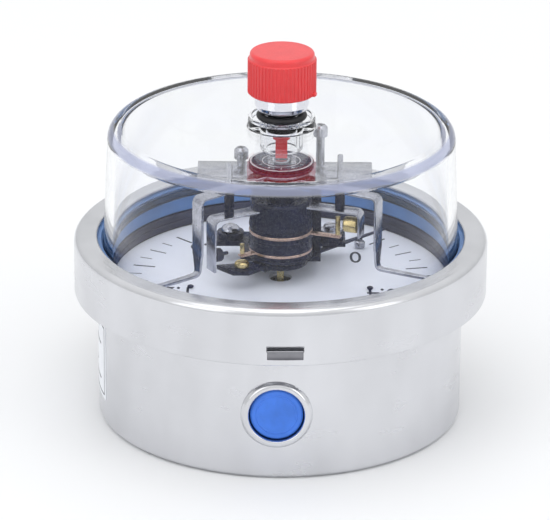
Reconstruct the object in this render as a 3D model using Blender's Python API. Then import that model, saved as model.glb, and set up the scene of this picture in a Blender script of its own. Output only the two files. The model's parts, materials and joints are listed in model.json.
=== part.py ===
"""A nominal size 100 pressure gauge with a two-level electric contact head, lying on its back.

Sizes are in millimetres and become metres where a mesh is made. The origin is the centre of
the case back, +Z runs out through the window, and twelve o'clock on the dial points along -Y.
Angles on the dial plane are in degrees, counted from +X towards +Y.
"""

import math

import bmesh
import bpy
from mathutils import Matrix, Vector

MM = 0.001
GAP = 0.3
RING_SEGMENTS = 40
MIDDLE_SEGMENTS = 20
SMALL_SEGMENTS = 12
PIN_SEGMENTS = 10

# Case and window
CASE_RADIUS = 50.0
CASE_DEPTH = 42.9
CASE_SHEET = 1.0
RIM_WIDTH = 4.6
RIM_SHEET = 2.6
BEZEL_RADIUS = CASE_RADIUS + 6.6
BEZEL_LOW = CASE_DEPTH - 7.2
BEZEL_HIGH = CASE_DEPTH + 8.6
BEZEL_SHEET = 0.9
LUG_COUNT = 3
LUG_WIDTH = 9.6
LUG_FIRST_ANGLE = -88.5
BEZEL_TURN = 28.0
WINDOW_FOOT_RADIUS = CASE_RADIUS - 1.4
WINDOW_TOP_RADIUS = CASE_RADIUS - 2.8
WINDOW_HIGH = CASE_DEPTH + 39.8
WINDOW_WALL = 2.5
WINDOW_PLATE = 1.6
GUIDE_TUBE_LOW = WINDOW_HIGH - 7.7
WINDOW_FOOT = CASE_DEPTH + 4.7
BOSS_RADIUS = 9.2
BOSS_BORE = 4.3

# Holes in the case wall, all on the height of the pressure connection
PORT_HEIGHT = 18.9
VENT_RADIUS = 7.4
VENT_COLLAR = 2.2
VENT_OFFSET = -0.7
STEM_NECK_RADIUS = 9.2
STEM_END = CASE_RADIUS + 37.0
STEM_SQUARE = 22.0
STEM_THREAD_RADIUS = 10.45
STEM_THREAD_LENGTH = 20.0
GLAND_ANGLE = 125.0
GLAND_NECK_RADIUS = 5.9

# Pressure element and movement
TUBE_RADIUS = 37.5
TUBE_THICKNESS = 3.6
TUBE_HEIGHT = 12.0
TUBE_START = 102.9
TUBE_END = 320.5
TIP_LUG_PLACE = (30.5, 2.5)
SECTOR_PIVOT_DISTANCE = 16.0
SECTOR_PIVOT_ANGLE = -135.0
PINION_RADIUS = 1.6
SECTOR_TAIL = 6.0
PLATE_LOW = 12.0
PLATE_HIGH = 26.0
PLATE_SHEET = 1.4

# Dial and needle
DIAL_TOP = CASE_DEPTH - 4.3
DIAL_RADIUS = CASE_RADIUS - 2.7
DIAL_SHEET = 0.8
DIAL_HOLE = 3.1
DIAL_SCREW_RADIUS = 25.8
NEEDLE_ANGLE = 42.5
NEEDLE_LENGTH = 41.0
NEEDLE_LEVEL = DIAL_TOP + 3.7
STOP_PIN_PLACE = (31.8, 45.5)

# Contact head: levels above the dial, then radii
BASE_LOW = DIAL_TOP + 4.7
BASE_SHEET = 1.3
DRUM_RADIUS = 8.8
CORE_RADIUS = 4.0
HIGH_RING_LEVEL = DIAL_TOP + 8.8
LOW_RING_LEVEL = DIAL_TOP + 14.0
RING_SHEET = 0.5
HIGH_BRACKET_LEVEL = DIAL_TOP + 20.9
LOW_BRACKET_LEVEL = DIAL_TOP + 21.8
ARM_SHEET = 0.6
BRIDGE_LEVEL = DIAL_TOP + 25.9
LOW_ARM_LEVEL = DIAL_TOP + 28.6
HIGH_ARM_LEVEL = DIAL_TOP + 29.9
HEAD_TOP = DIAL_TOP + 32.1
FOOT_LEVEL = DIAL_TOP + 8.5
POINTER_KNEE_RADIUS = 29.7
POINTER_REACH = 45.0
LOW_ARM_ANGLE = -28.6
LOW_BRACKET_ANGLE = -18.6
LOW_BRACKET_RADIUS = 22.9
LOW_BRACKET_FOOT = DIAL_TOP + 15.1
LOW_POST_ANGLE = -25.0
HIGH_ARM_ANGLE = -138.0
HIGH_BRACKET_ANGLE = -149.0
HIGH_BRACKET_RADIUS = 21.8
HIGH_BRACKET_FOOT = DIAL_TOP + 6.2
HIGH_POST_ANGLE = -142.5
POST_RADIUS = 1.4
POST_DISTANCE = 17.6
LOW_PIN_HIGH = DIAL_TOP + 37.4
HIGH_PIN_HIGH = DIAL_TOP + 36.0

# Adjuster in the middle of the window
KNOB_RADIUS = 9.3
KNOB_LOW = WINDOW_HIGH + 9.3
KNOB_HIGH = WINDOW_HIGH + 21.3
KNOB_CEILING = KNOB_HIGH - 3.0
KNOB_BORE = 8.4
BUSH_RADIUS = 7.4
BUSH_LOW = WINDOW_HIGH + 4.4
BUSH_HIGH = WINDOW_HIGH + 13.3
BUSH_BORE = 2.9
SHAFT_RADIUS = 2.4
BLADE_WIDTH = 3.2
BLADE_THICKNESS = 1.2
HUB_RADIUS = 2.5
HUB_HIGH = HEAD_TOP + 1.3


# Materials ---------------------------------------------------------------------------------

def make_material(name, colour, roughness, metallic=0.0, transmission=0.0):
    """A Principled material; colour is linear RGB."""
    material = bpy.data.materials.new(name)
    material.use_nodes = True
    shader = material.node_tree.nodes["Principled BSDF"]
    shader.inputs["Base Color"].default_value = (*colour, 1.0)
    shader.inputs["Roughness"].default_value = roughness
    shader.inputs["Metallic"].default_value = metallic
    shader.inputs["Transmission Weight"].default_value = transmission
    return material


def make_materials():
    """Every finish of the gauge, by name."""
    return {
        "steel": make_material("brushed stainless steel", (0.62, 0.61, 0.60), 0.28, 1.0),
        "chrome": make_material("chromed brass", (0.75, 0.75, 0.76), 0.08, 1.0),
        "zinc": make_material("bright plated steel", (0.66, 0.66, 0.68), 0.2, 1.0),
        "brass": make_material("brass", (0.62, 0.47, 0.20), 0.3, 1.0),
        "bronze": make_material("phosphor bronze", (0.60, 0.36, 0.24), 0.32, 1.0),
        "black": make_material("black moulding", (0.018, 0.02, 0.035), 0.35),
        "grey": make_material("dark grey enamel", (0.05, 0.055, 0.08), 0.45),
        "rubber": make_material("black rubber", (0.008, 0.008, 0.009), 0.6),
        "red": make_material("red plastic", (0.70, 0.035, 0.03), 0.42),
        "blue": make_material("blue rubber", (0.05, 0.17, 0.60), 0.5),
        "white": make_material("white dial enamel", (0.78, 0.80, 0.88), 0.4),
        "clear": make_material("clear polycarbonate", (0.92, 0.93, 0.97), 0.03, 0.0, 1.0),
    }


# Shape helpers -----------------------------------------------------------------------------

def polar(radius, angle):
    """The x and y of a point on the dial plane."""
    turn = math.radians(angle)
    return radius * math.cos(turn), radius * math.sin(turn)


def finish(name, bm, material, sharp=35.0):
    """Turn a bmesh in millimetres into a named object in metres, shaded smooth."""
    bmesh.ops.scale(bm, vec=(MM, MM, MM), verts=bm.verts)
    bmesh.ops.recalc_face_normals(bm, faces=bm.faces)
    mesh = bpy.data.meshes.new(name)
    bm.to_mesh(mesh)
    bm.free()
    mesh.materials.append(material)
    mesh.shade_smooth()
    mesh.set_sharp_from_angle(angle=math.radians(sharp))
    piece = bpy.data.objects.new(name, mesh)
    bpy.context.scene.collection.objects.link(piece)
    return piece


def turned(name, outline, material, segments=RING_SEGMENTS):
    """A solid turned about Z from (radius, height) points: a loop, or ends on the axis."""
    bm = bmesh.new()
    points = [bm.verts.new((radius, 0.0, height)) for radius, height in outline]
    ends_on_axis = outline[0][0] == 0 and outline[-1][0] == 0
    followers = points[1:] if ends_on_axis else points[1:] + points[:1]
    edges = [bm.edges.new(pair) for pair in zip(points, followers)]
    bmesh.ops.spin(bm, geom=points + edges, cent=(0, 0, 0), axis=(0, 0, 1),
                   angle=math.tau, steps=segments, use_merge=True)
    bmesh.ops.remove_doubles(bm, verts=bm.verts, dist=1e-4)
    return finish(name, bm, material)


def ring(name, inner, outer, low, high, material, segments=RING_SEGMENTS):
    """A flat washer about Z."""
    outline = [(inner, low), (outer, low), (outer, high), (inner, high)]
    return turned(name, outline, material, segments)


def rod(name, radius, low, high, material, at=(0.0, 0.0), segments=SMALL_SEGMENTS):
    """A plain cylinder along Z, standing at a place on the dial plane."""
    bm = bmesh.new()
    middle = Matrix.Translation((at[0], at[1], (low + high) / 2))
    bmesh.ops.create_cone(bm, cap_ends=True, segments=segments, radius1=radius,
                          radius2=radius, depth=high - low, matrix=middle)
    return finish(name, bm, material)


def box(name, low, high, material):
    """A rectangular block between two corners."""
    bm = bmesh.new()
    bmesh.ops.create_cube(bm, size=1.0)
    size = [b - a for a, b in zip(low, high)]
    middle = [(a + b) / 2 for a, b in zip(low, high)]
    bmesh.ops.scale(bm, vec=size, verts=bm.verts)
    bmesh.ops.translate(bm, vec=middle, verts=bm.verts)
    return finish(name, bm, material)


def plate(name, outline, low, high, material):
    """A flat sheet of metal or a moulding cut to an outline on the dial plane."""
    bm = bmesh.new()
    face = bm.faces.new([bm.verts.new((x, y, low)) for x, y in outline])
    grown = bmesh.ops.extrude_face_region(bm, geom=[face])
    raised = [item for item in grown["geom"] if isinstance(item, bmesh.types.BMVert)]
    bmesh.ops.translate(bm, vec=(0, 0, high - low), verts=raised)
    return finish(name, bm, material)


def skin(name, sections, material):
    """A solid through equal closed sections, with the first and last one capped."""
    bm = bmesh.new()
    loops = [[bm.verts.new(point) for point in section] for section in sections]
    for first, second in zip(loops, loops[1:]):
        for i in range(len(first)):
            j = (i + 1) % len(first)
            bm.faces.new((first[i], first[j], second[j], second[i]))
    bm.faces.new(loops[0])
    bm.faces.new(loops[-1])
    return finish(name, bm, material)


def rounded(path, radius, steps=3):
    """A path of (radius, height) points whose inner corners are replaced by arcs."""
    points = [Vector(point) for point in path]
    smooth = [points[0]]
    for before, corner, after in zip(points, points[1:], points[2:]):
        back = (before - corner).normalized()
        ahead = (after - corner).normalized()
        half = back.angle(ahead) / 2
        reach = radius / math.tan(half)
        if reach < 0.01 * radius:
            smooth.append(corner)
            continue
        centre = corner + (back + ahead).normalized() * radius / math.sin(half)
        start = (corner + back * reach - centre).normalized()
        end = (corner + ahead * reach - centre).normalized()
        for step in range(steps + 1):
            smooth.append(centre + start.slerp(end, step / steps) * radius)
    smooth.append(points[-1])
    return smooth


def strip(name, path, widths, thickness, material):
    """A bent metal strip along a path of (radius, height) points in the X-Z plane.

    The widths are its breadth along Y at the path's own corners, running evenly between.
    """
    corners = [Vector(point) for point in path]
    smooth = rounded(path, 1.4)
    marks = [0.0]
    for first, second in zip(corners, corners[1:]):
        marks.append(marks[-1] + (second - first).length)
    travelled = 0.0
    sections = []
    for i, point in enumerate(smooth):
        travelled += (point - smooth[i - 1]).length if i else 0.0
        before = (point - smooth[i - 1]).normalized() if i else None
        after = (smooth[i + 1] - point).normalized() if i + 1 < len(smooth) else None
        along = ((before or after) + (after or before)).normalized()
        across = Vector((-along.y, along.x)) * thickness / 2
        half = width_at(travelled, marks, widths) / 2
        inner, outer = point - across, point + across
        sections.append([(inner.x, -half, inner.y), (inner.x, half, inner.y),
                         (outer.x, half, outer.y), (outer.x, -half, outer.y)])
    return skin(name, sections, material)


def width_at(travelled, marks, widths):
    """The strip's width a given way along it."""
    for i in range(1, len(marks)):
        if travelled <= marks[i] or i == len(marks) - 1:
            share = (travelled - marks[i - 1]) / (marks[i] - marks[i - 1])
            return widths[i - 1] + (widths[i] - widths[i - 1]) * min(share, 1.0)
    return widths[-1]


def tool(piece, target):
    """Make a helper shape invisible and tie it to the piece that it shapes."""
    piece.hide_render = True
    piece.display_type = "WIRE"
    piece.parent = target


def shape(target, operation, *pieces):
    """Join helper shapes to a piece, or cut them out of it."""
    for piece in pieces:
        tool(piece, target)
        modifier = target.modifiers.new(piece.name, "BOOLEAN")
        modifier.operation = operation
        modifier.object = piece
    return target


def fuse(target, *pieces):
    return shape(target, "UNION", *pieces)


def cut(target, *pieces):
    return shape(target, "DIFFERENCE", *pieces)


def swing(piece, angle):
    """Turn a piece made along +X to its angle on the dial."""
    piece.rotation_euler.z = math.radians(angle)
    return piece


def lay(piece, angle, height):
    """Point a piece made along +Z outwards at an angle on the dial, at a height."""
    outwards = Matrix.Rotation(math.radians(angle), 4, "Z") @ Matrix.Rotation(math.pi / 2, 4, "Y")
    piece.matrix_world = Matrix.Translation((0, 0, height * MM)) @ outwards
    return piece


# Enclosure ---------------------------------------------------------------------------------

def case_shell(steel):
    """The deep-drawn cup with its rim, the raised vent collar and three holes in its wall."""
    radius, inner, top = CASE_RADIUS, CASE_RADIUS - CASE_SHEET, CASE_DEPTH
    shell = turned("case_shell", [
        (0, 0), (radius - 1.6, 0), (radius - 0.5, 0.5), (radius, 1.6),
        (radius, top - RIM_SHEET), (radius + RIM_WIDTH, top - RIM_SHEET),
        (radius + RIM_WIDTH, top), (inner, top), (inner, 1.2), (0, 1.2)], steel)
    collar = ring("vent_collar", VENT_RADIUS, VENT_RADIUS + VENT_COLLAR,
                  inner - 1.6, radius + 1.2, steel, MIDDLE_SEGMENTS)
    vent, stem, gland = (
        rod(f"{name}_hole", width, radius - 8, radius + 3, steel, segments=MIDDLE_SEGMENTS)
        for name, width in (("vent", VENT_RADIUS + 1), ("stem", STEM_NECK_RADIUS + 0.6),
                            ("gland", GLAND_NECK_RADIUS + 0.4)))
    for piece in (collar, vent):
        lay(piece, -90, PORT_HEIGHT)
        piece.location.x = VENT_OFFSET * MM
    lay(stem, 90, PORT_HEIGHT)
    lay(gland, GLAND_ANGLE, PORT_HEIGHT)
    cut(shell, stem, gland, vent)
    fuse(shell, collar)
    for number in range(LUG_COUNT):
        notch = box(f"rim_notch_{number}", (radius + 2.3, -LUG_WIDTH / 2 - 0.8, top - 3),
                    (radius + RIM_WIDTH + 1, LUG_WIDTH / 2 + 0.8, top + 1), steel)
        swing(notch, LUG_FIRST_ANGLE + BEZEL_TURN + number * 360 / LUG_COUNT)
        cut(shell, notch)
    return shell


def bezel_ring(steel):
    """The bayonet ring: rolled lip, rounded shoulder and lugs pressed in under the case rim."""
    outer, low, high = BEZEL_RADIUS, BEZEL_LOW, BEZEL_HIGH
    inner = outer - BEZEL_SHEET
    opening = CASE_RADIUS + 0.1
    bezel = turned("bezel_ring", [
        (inner, low), (outer, low), (outer, high - 2.2), (outer - 0.6, high - 0.6),
        (outer - 2.2, high), (opening + 0.8, high), (opening, high - 0.5),
        (opening, high - 1.1), (inner - 0.4, high - 1.1), (inner, high - 1.5)], steel)
    rim_underside = CASE_DEPTH - RIM_SHEET
    for number in range(LUG_COUNT):
        angle = LUG_FIRST_ANGLE + number * 360 / LUG_COUNT
        lug = box(f"bezel_lug_{number}",
                  (outer - 3.9, -LUG_WIDTH / 2, rim_underside - 2.9),
                  (outer - 0.4, LUG_WIDTH / 2, rim_underside - 0.5), steel)
        slot = box(f"bezel_slot_{number}",
                   (outer - 5, -LUG_WIDTH / 2 - 0.3, rim_underside - 0.7),
                   (outer + 1, LUG_WIDTH / 2 + 0.3, rim_underside + 1), steel)
        fuse(bezel, swing(lug, angle))
        cut(bezel, swing(slot, angle))
    return bezel


def window(clear):
    """The deep clear window: foot flange, tapered wall, flat top, boss and guide tube."""
    foot, top, wall = WINDOW_FOOT, WINDOW_HIGH, WINDOW_WALL
    outer, upper = WINDOW_FOOT_RADIUS, WINDOW_TOP_RADIUS
    flange = CASE_RADIUS + 3.9
    ceiling = top - WINDOW_PLATE
    return turned("window", [
        (outer - wall, foot), (flange, foot), (flange, foot + 1.6), (outer, foot + 1.6),
        (upper, top - 2.6), (upper - 0.6, top - 0.9), (upper - 2.4, top),
        (BOSS_RADIUS, top), (BOSS_RADIUS, top + 2.9), (BOSS_RADIUS - 1.2, top + 2.9),
        (BOSS_RADIUS - 1.2, top + 1.6), (BOSS_BORE, top + 1.6), (BOSS_BORE, GUIDE_TUBE_LOW),
        (BOSS_BORE + 1.5, GUIDE_TUBE_LOW), (BOSS_BORE + 1.5, ceiling),
        (upper - wall - 2, ceiling), (upper - wall - 0.5, ceiling - 0.6),
        (upper - wall, ceiling - 2)], clear)


def gasket(blue):
    """The U-shaped rubber gasket around the window's flange."""
    low, high = CASE_DEPTH + GAP, BEZEL_HIGH - 1.4
    outer, inner = CASE_RADIUS + 5.2, CASE_RADIUS - 2.7
    web, lip = CASE_RADIUS + 4.2, CASE_RADIUS - 0.9
    return turned("gasket", [
        (inner, low), (outer, low), (outer, high), (lip, high), (lip, high - 0.6),
        (web, high - 0.6), (web, WINDOW_FOOT - GAP), (inner, WINDOW_FOOT - GAP)], blue)


def pressure_stem(steel):
    """Thread, square and the block inside the case that carries tube and movement."""
    end, thread = STEM_END, STEM_THREAD_LENGTH
    wall = CASE_RADIUS
    half = STEM_SQUARE / 2
    stem = turned("pressure_stem", [
        (0, end), (STEM_THREAD_RADIUS - 1.5, end), (STEM_THREAD_RADIUS, end - 1.5),
        (STEM_THREAD_RADIUS, end - thread), (STEM_NECK_RADIUS, end - thread),
        (STEM_NECK_RADIUS, wall - 3), (0, wall - 3)], steel, MIDDLE_SEGMENTS)
    square = box("stem_square", (-half, -half, wall + 2.4), (half, half, end - thread - 1.5), steel)
    block = box("stem_block", (-9, -8, 26), (9, 8, wall - 2.6), steel)
    ledge = box("stem_ledge", (7.2, -7, 12), (9, 7, 27), steel)
    bore = rod("stem_bore", 3, 31, end + 1, steel)
    fuse(stem, square, block, ledge)
    cut(stem, bore)
    return lay(stem, 90, PORT_HEIGHT)


def stem_seal(rubber):
    """The rubber ring between the case wall and the square of the stem."""
    seal = ring("stem_seal", STEM_NECK_RADIUS + GAP, STEM_NECK_RADIUS + 3.2,
                CASE_RADIUS + 0.4, CASE_RADIUS + 2.1, rubber, MIDDLE_SEGMENTS)
    return lay(seal, 90, PORT_HEIGHT)


def cable_gland(black, rubber):
    """The screwed cable entry on the far side of the case, without a cable."""
    wall, neck = CASE_RADIUS, GLAND_NECK_RADIUS
    body = turned("gland_body", [
        (3.6, wall - 4.5), (neck, wall - 4.5), (neck, wall + 2.2), (9.2, wall + 2.2),
        (9.2, wall + 6.5), (7.6, wall + 6.5), (7.6, wall + 9), (3.6, wall + 9)], black, 6)
    thread = ring("gland_thread", 3.4, neck, wall - 4.6, wall + 2.4, black, MIDDLE_SEGMENTS)
    bore = rod("gland_bore", 4, wall - 6, wall + 10, black, segments=MIDDLE_SEGMENTS)
    fuse(body, thread)
    cut(body, bore)
    seal = ring("gland_seal", neck + GAP, 8.8, wall + 0.5, wall + 1.9, rubber, MIDDLE_SEGMENTS)
    nut = turned("gland_nut", [
        (4, wall + 9.3), (8.4, wall + 9.3), (8.4, wall + 14), (6.6, wall + 16.5),
        (4, wall + 16.5)], black, MIDDLE_SEGMENTS)
    for piece in (body, seal, nut):
        lay(piece, GLAND_ANGLE, PORT_HEIGHT)


def vent_plug(blue):
    """The rubber blow-out plug in the collar of the case wall."""
    radius, face = VENT_RADIUS - GAP, CASE_RADIUS + 0.4
    plug = turned("vent_plug", [
        (0, face), (radius - 0.6, face), (radius, face - 0.6), (radius, face - 3.4),
        (0, face - 3.4)], blue, MIDDLE_SEGMENTS)
    lay(plug, -90, PORT_HEIGHT)
    plug.location.x = VENT_OFFSET * MM


def build_enclosure(finishes):
    case_shell(finishes["steel"])
    bezel_ring(finishes["steel"])
    window(finishes["clear"])
    gasket(finishes["blue"])
    ring("spacer_ring", CASE_RADIUS - 3.1, CASE_RADIUS - 1.3, DIAL_TOP + GAP, CASE_DEPTH,
         finishes["grey"])
    pressure_stem(finishes["steel"])
    stem_seal(finishes["rubber"])
    cable_gland(finishes["black"], finishes["rubber"])
    vent_plug(finishes["blue"])


# Pressure element and movement ---------------------------------------------------------------

def bourdon_tube(bronze):
    """The flattened tube, curved round the movement from the stem block to its tip."""
    sections = []
    steps = 28
    for step in range(steps + 1):
        turn = math.radians(TUBE_START + (TUBE_END - TUBE_START) * step / steps)
        section = []
        for side in range(8):
            around = math.tau * side / 8
            radius = TUBE_RADIUS + TUBE_THICKNESS / 2 * math.cos(around)
            height = PORT_HEIGHT + TUBE_HEIGHT / 2 * math.sin(around)
            section.append((radius * math.cos(turn), radius * math.sin(turn), height))
        sections.append(section)
    return skin("bourdon_tube", sections, bronze)


def link_ends():
    """Where the link meets the sector's tail and the tip's lug, on the dial plane."""
    x, y = polar(SECTOR_PIVOT_DISTANCE, SECTOR_PIVOT_ANGLE)
    turn = Matrix.Rotation(math.radians(TUBE_END), 2)
    return (x, y - SECTOR_TAIL), tuple(turn @ Vector(TIP_LUG_PLACE))


def tube_tip(brass):
    """The closed end piece of the tube, with the lug that pulls the link."""
    height = TUBE_HEIGHT / 2 + 0.6
    tip = box("tube_tip", (TUBE_RADIUS - 2.4, GAP, PORT_HEIGHT - height),
              (TUBE_RADIUS + 2.4, 5, PORT_HEIGHT + height), brass)
    x, y = TIP_LUG_PLACE
    lug = box("tip_lug", (x - 2, y - 2, PORT_HEIGHT - 0.3),
              (TUBE_RADIUS - 2, y + 2, PORT_HEIGHT + 2), brass)
    fuse(tip, lug)
    swing(tip, TUBE_END)


def sector_gear(brass):
    """The toothed sector: web, tail and its own arbor between the plates."""
    reach = SECTOR_PIVOT_DISTANCE - PINION_RADIUS - GAP
    towards = SECTOR_PIVOT_ANGLE + 180
    arc = [polar(reach, towards - 34 + 38 * step / 12) for step in range(13)]
    low, high = PORT_HEIGHT - 0.9, PORT_HEIGHT + 0.6
    sector = plate("sector_gear", [polar(2.6, towards - 105)] + arc + [polar(2.6, towards + 75)],
                   low, high, brass)
    tail = box("sector_tail", (-1.6, -SECTOR_TAIL - 2, low), (1.6, 0, high), brass)
    hub = rod("sector_hub", 2.9, low, high + 0.8, brass)
    arbor = rod("sector_arbor", 1.2, PLATE_LOW + PLATE_SHEET + GAP, PLATE_HIGH - GAP, brass)
    fuse(sector, tail, hub, arbor)
    x, y = polar(SECTOR_PIVOT_DISTANCE, SECTOR_PIVOT_ANGLE)
    sector.location = (x * MM, y * MM, 0)


def movement_link(steel):
    """The flat link between the sector's tail and the tip of the tube."""
    (x, y), (reach, _) = link_ends()
    low, high = PORT_HEIGHT + 2.3, PORT_HEIGHT + 3.3
    link = box("movement_link", (x, y - 1.5, low), (reach, y + 1.5, high), steel)
    ends = [rod(f"link_end_{i}", 2.1, low, high, steel, at=(end, y))
            for i, end in enumerate((x, reach))]
    pin = rod("link_pin", 0.8, PORT_HEIGHT + 0.9, low + 0.5, steel, at=(x, y))
    fuse(link, *ends, pin)


def movement_frame(brass, steel):
    """The two plates with their pillars and the screws that hold them to the stem block."""
    low, high, sheet = PLATE_LOW, PLATE_HIGH, PLATE_SHEET
    lower = box("movement_lower_plate", (-18, -16, low), (16, 25, low + sheet), brass)
    pillars = [rod(f"pillar_{i}", 2, low + 0.5, high - GAP, brass, at=place)
               for i, place in enumerate(((10, 12), (-14, 8), (12, -10)))]
    fuse(lower, *pillars)
    upper = box("movement_upper_plate", (-18, -16, high), (16, 16, high + sheet), brass)
    x, y = polar(DIAL_SCREW_RADIUS, -18.8)
    bar = box("dial_bar", (-x - 2.5, y - 2.5, high), (x + 2.5, y + 2.5, high + sheet), brass)
    posts = [rod(f"dial_post_{i}", 2, high + 0.5, DIAL_TOP - DIAL_SHEET - GAP, brass,
                 at=(side * x, y)) for i, side in enumerate((-1, 1))]
    fuse(upper, bar, *posts)
    cut(lower, rod("lower_pivot_hole", 1.4, low - 1, low + 3, brass))
    cut(upper, rod("upper_pivot_hole", 1.4, high - 1, high + 3, brass))
    for side, label in ((-1, "left"), (1, "right")):
        place = (side * 4, 20)
        cut(lower, rod(f"frame_hole_{label}", 1.4, low - 1, low + 3, brass, at=place))
        screw = turned(f"movement_screw_{label}", [
            (0, low + sheet + 1.8), (1.7, low + sheet + 1.8), (2.2, low + sheet + 1.3),
            (2.2, low + sheet + GAP), (1, low + sheet + GAP), (1, low + 0.2),
            (0, low + 0.2)], steel, SMALL_SEGMENTS)
        screw.location = (place[0] * MM, place[1] * MM, 0)


def pinion_arbor(steel):
    """The arbor that carries the needle, with its pinion between the plates."""
    turned("pinion_arbor", [
        (0, PLATE_LOW - 1.2), (1, PLATE_LOW - 1.2), (1, PORT_HEIGHT - 2.2),
        (PINION_RADIUS, PORT_HEIGHT - 2.2), (PINION_RADIUS, PORT_HEIGHT + 1.8),
        (1, PORT_HEIGHT + 1.8), (1, NEEDLE_LEVEL + 0.7), (0, NEEDLE_LEVEL + 0.7)],
        steel, SMALL_SEGMENTS)


def movement_hairspring(bronze):
    """The flat spiral that takes up the play of the gear teeth."""
    turns, steps = 3.0, 42
    low = PORT_HEIGHT + 4.2
    sections = []
    for step in range(steps + 1):
        share = step / steps
        around = math.tau * turns * share
        inner = 2.2 + 4.6 * share
        x, y = math.cos(around), math.sin(around)
        sections.append([(x * radius, y * radius, height) for radius, height in (
            (inner, low), (inner + 0.35, low), (inner + 0.35, low + 1), (inner, low + 1))])
    skin("movement_hairspring", sections, bronze)


def build_movement(finishes):
    bourdon_tube(finishes["bronze"])
    tube_tip(finishes["brass"])
    sector_gear(finishes["brass"])
    movement_link(finishes["zinc"])
    movement_frame(finishes["brass"], finishes["zinc"])
    pinion_arbor(finishes["brass"])
    movement_hairspring(finishes["bronze"])


# Dial and needle ---------------------------------------------------------------------------

def dial(white, zinc):
    """The dial disc, its two screws and the stop pin at the start of the scale."""
    disc = ring("dial", DIAL_HOLE, DIAL_RADIUS, DIAL_TOP - DIAL_SHEET, DIAL_TOP, white)
    x, y = polar(DIAL_SCREW_RADIUS, -18.8)
    for side, label in ((-1, "left"), (1, "right")):
        place = (side * x, y)
        cut(disc, rod(f"dial_hole_{label}", 0.9, DIAL_TOP - 3, DIAL_TOP + 1, white, at=place,
                      segments=PIN_SEGMENTS))
        screw = turned(f"dial_screw_{label}", [
            (0, DIAL_TOP + 0.8), (0.5, DIAL_TOP + 0.8), (0.85, DIAL_TOP + 0.6),
            (0.85, DIAL_TOP + GAP), (0.6, DIAL_TOP + GAP), (0.6, DIAL_TOP - 0.7),
            (0, DIAL_TOP - 0.7)], zinc, PIN_SEGMENTS)
        screw.location = (place[0] * MM, place[1] * MM, 0)
    pin = turned("stop_pin", [
        (0, DIAL_TOP + 9.9), (0.5, DIAL_TOP + 9.9), (0.8, DIAL_TOP + 9.6),
        (0.8, DIAL_TOP + 2), (1.5, DIAL_TOP + 1.8), (1.5, DIAL_TOP + GAP),
        (0, DIAL_TOP + GAP)], zinc, PIN_SEGMENTS)
    x, y = polar(*STOP_PIN_PLACE)
    pin.location = (x * MM, y * MM, 0)


def needle(grey):
    """The tapered needle with its round hub and short tail."""
    low, high = NEEDLE_LEVEL, NEEDLE_LEVEL + 0.6
    blade = plate("needle", [(-7, -1.6), (0, -1.5), (NEEDLE_LENGTH, -0.2),
                             (NEEDLE_LENGTH, 0.2), (0, 1.5), (-7, 1.6)], low, high, grey)
    fuse(blade, rod("needle_hub", 3, low, high, grey))
    cut(blade, rod("needle_hole", 1.3, low - 1, high + 1, grey))
    swing(blade, NEEDLE_ANGLE)


def build_dial(finishes):
    dial(finishes["white"], finishes["zinc"])
    needle(finishes["grey"])


# Contact head ------------------------------------------------------------------------------

def contact_base(black, zinc):
    """The black moulding above the dial: lug, terminal bosses and two columns, on pillars."""
    low, high = BASE_LOW, BASE_LOW + BASE_SHEET
    boss = (14.0, 15.0)
    base = rod("contact_base", 7.5, low, high, black, segments=MIDDLE_SEGMENTS)
    rear = plate("base_rear", [(-18, 11), (-11, 11), (-11, 0), (11, 0), (11, 11), (18, 11),
                               (18, 19), (-18, 19)], low, high, black)
    lug = plate("base_lug", [(0, 0), (-5, -2), (-9, -4.4), (-17.4, -6.3), (-12.8, -11),
                             (-8.6, -10.9), (-3.5, -6), (0, -5)], low, high, black)
    bosses = [rod(f"base_boss_{i}", 3.8, low, low + 3, black, at=(side * boss[0], boss[1]))
              for i, side in enumerate((-1, 1))]
    columns = [box(f"base_column_{i}", (x - 1.6, y, low), (x + 1.6, y + 4.4, BRIDGE_LEVEL - GAP),
                   black) for i, (x, y) in enumerate(((-6.5, 9.8), (9.5, 4.6)))]
    fuse(base, rear, lug, *bosses, *columns)
    for side, label in ((-1, "left"), (1, "right")):
        rod(f"base_pillar_{label}", 2, DIAL_TOP + GAP, low - GAP, zinc, at=(side * 8, 17))
    head = low + 3 + GAP
    left = turned("terminal_screw_left", [
        (0, head + 1.7), (1.3, head + 1.5), (2.3, head + 0.9), (2.7, head + 0.2),
        (2.7, head), (0, head)], zinc, SMALL_SEGMENTS)
    right = turned("terminal_screw_right", [
        (0, head + 2), (1.6, head + 2), (2.1, head + 1.6), (2.1, head + 0.6),
        (3.1, head + 0.6), (3.1, head), (0, head)], zinc, SMALL_SEGMENTS)
    left.location = (-boss[0] * MM, boss[1] * MM, 0)
    right.location = (boss[0] * MM, boss[1] * MM, 0)


def base_screw(brass):
    """The brass clamping screw on the lug."""
    head = BASE_LOW + BASE_SHEET + GAP
    screw = turned("base_screw", [
        (0, head + 1.5), (1.5, head + 1.5), (2, head + 1), (2, head), (0, head)],
        brass, SMALL_SEGMENTS)
    screw.location = (-10.5 * MM, -7.9 * MM, 0)


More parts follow.
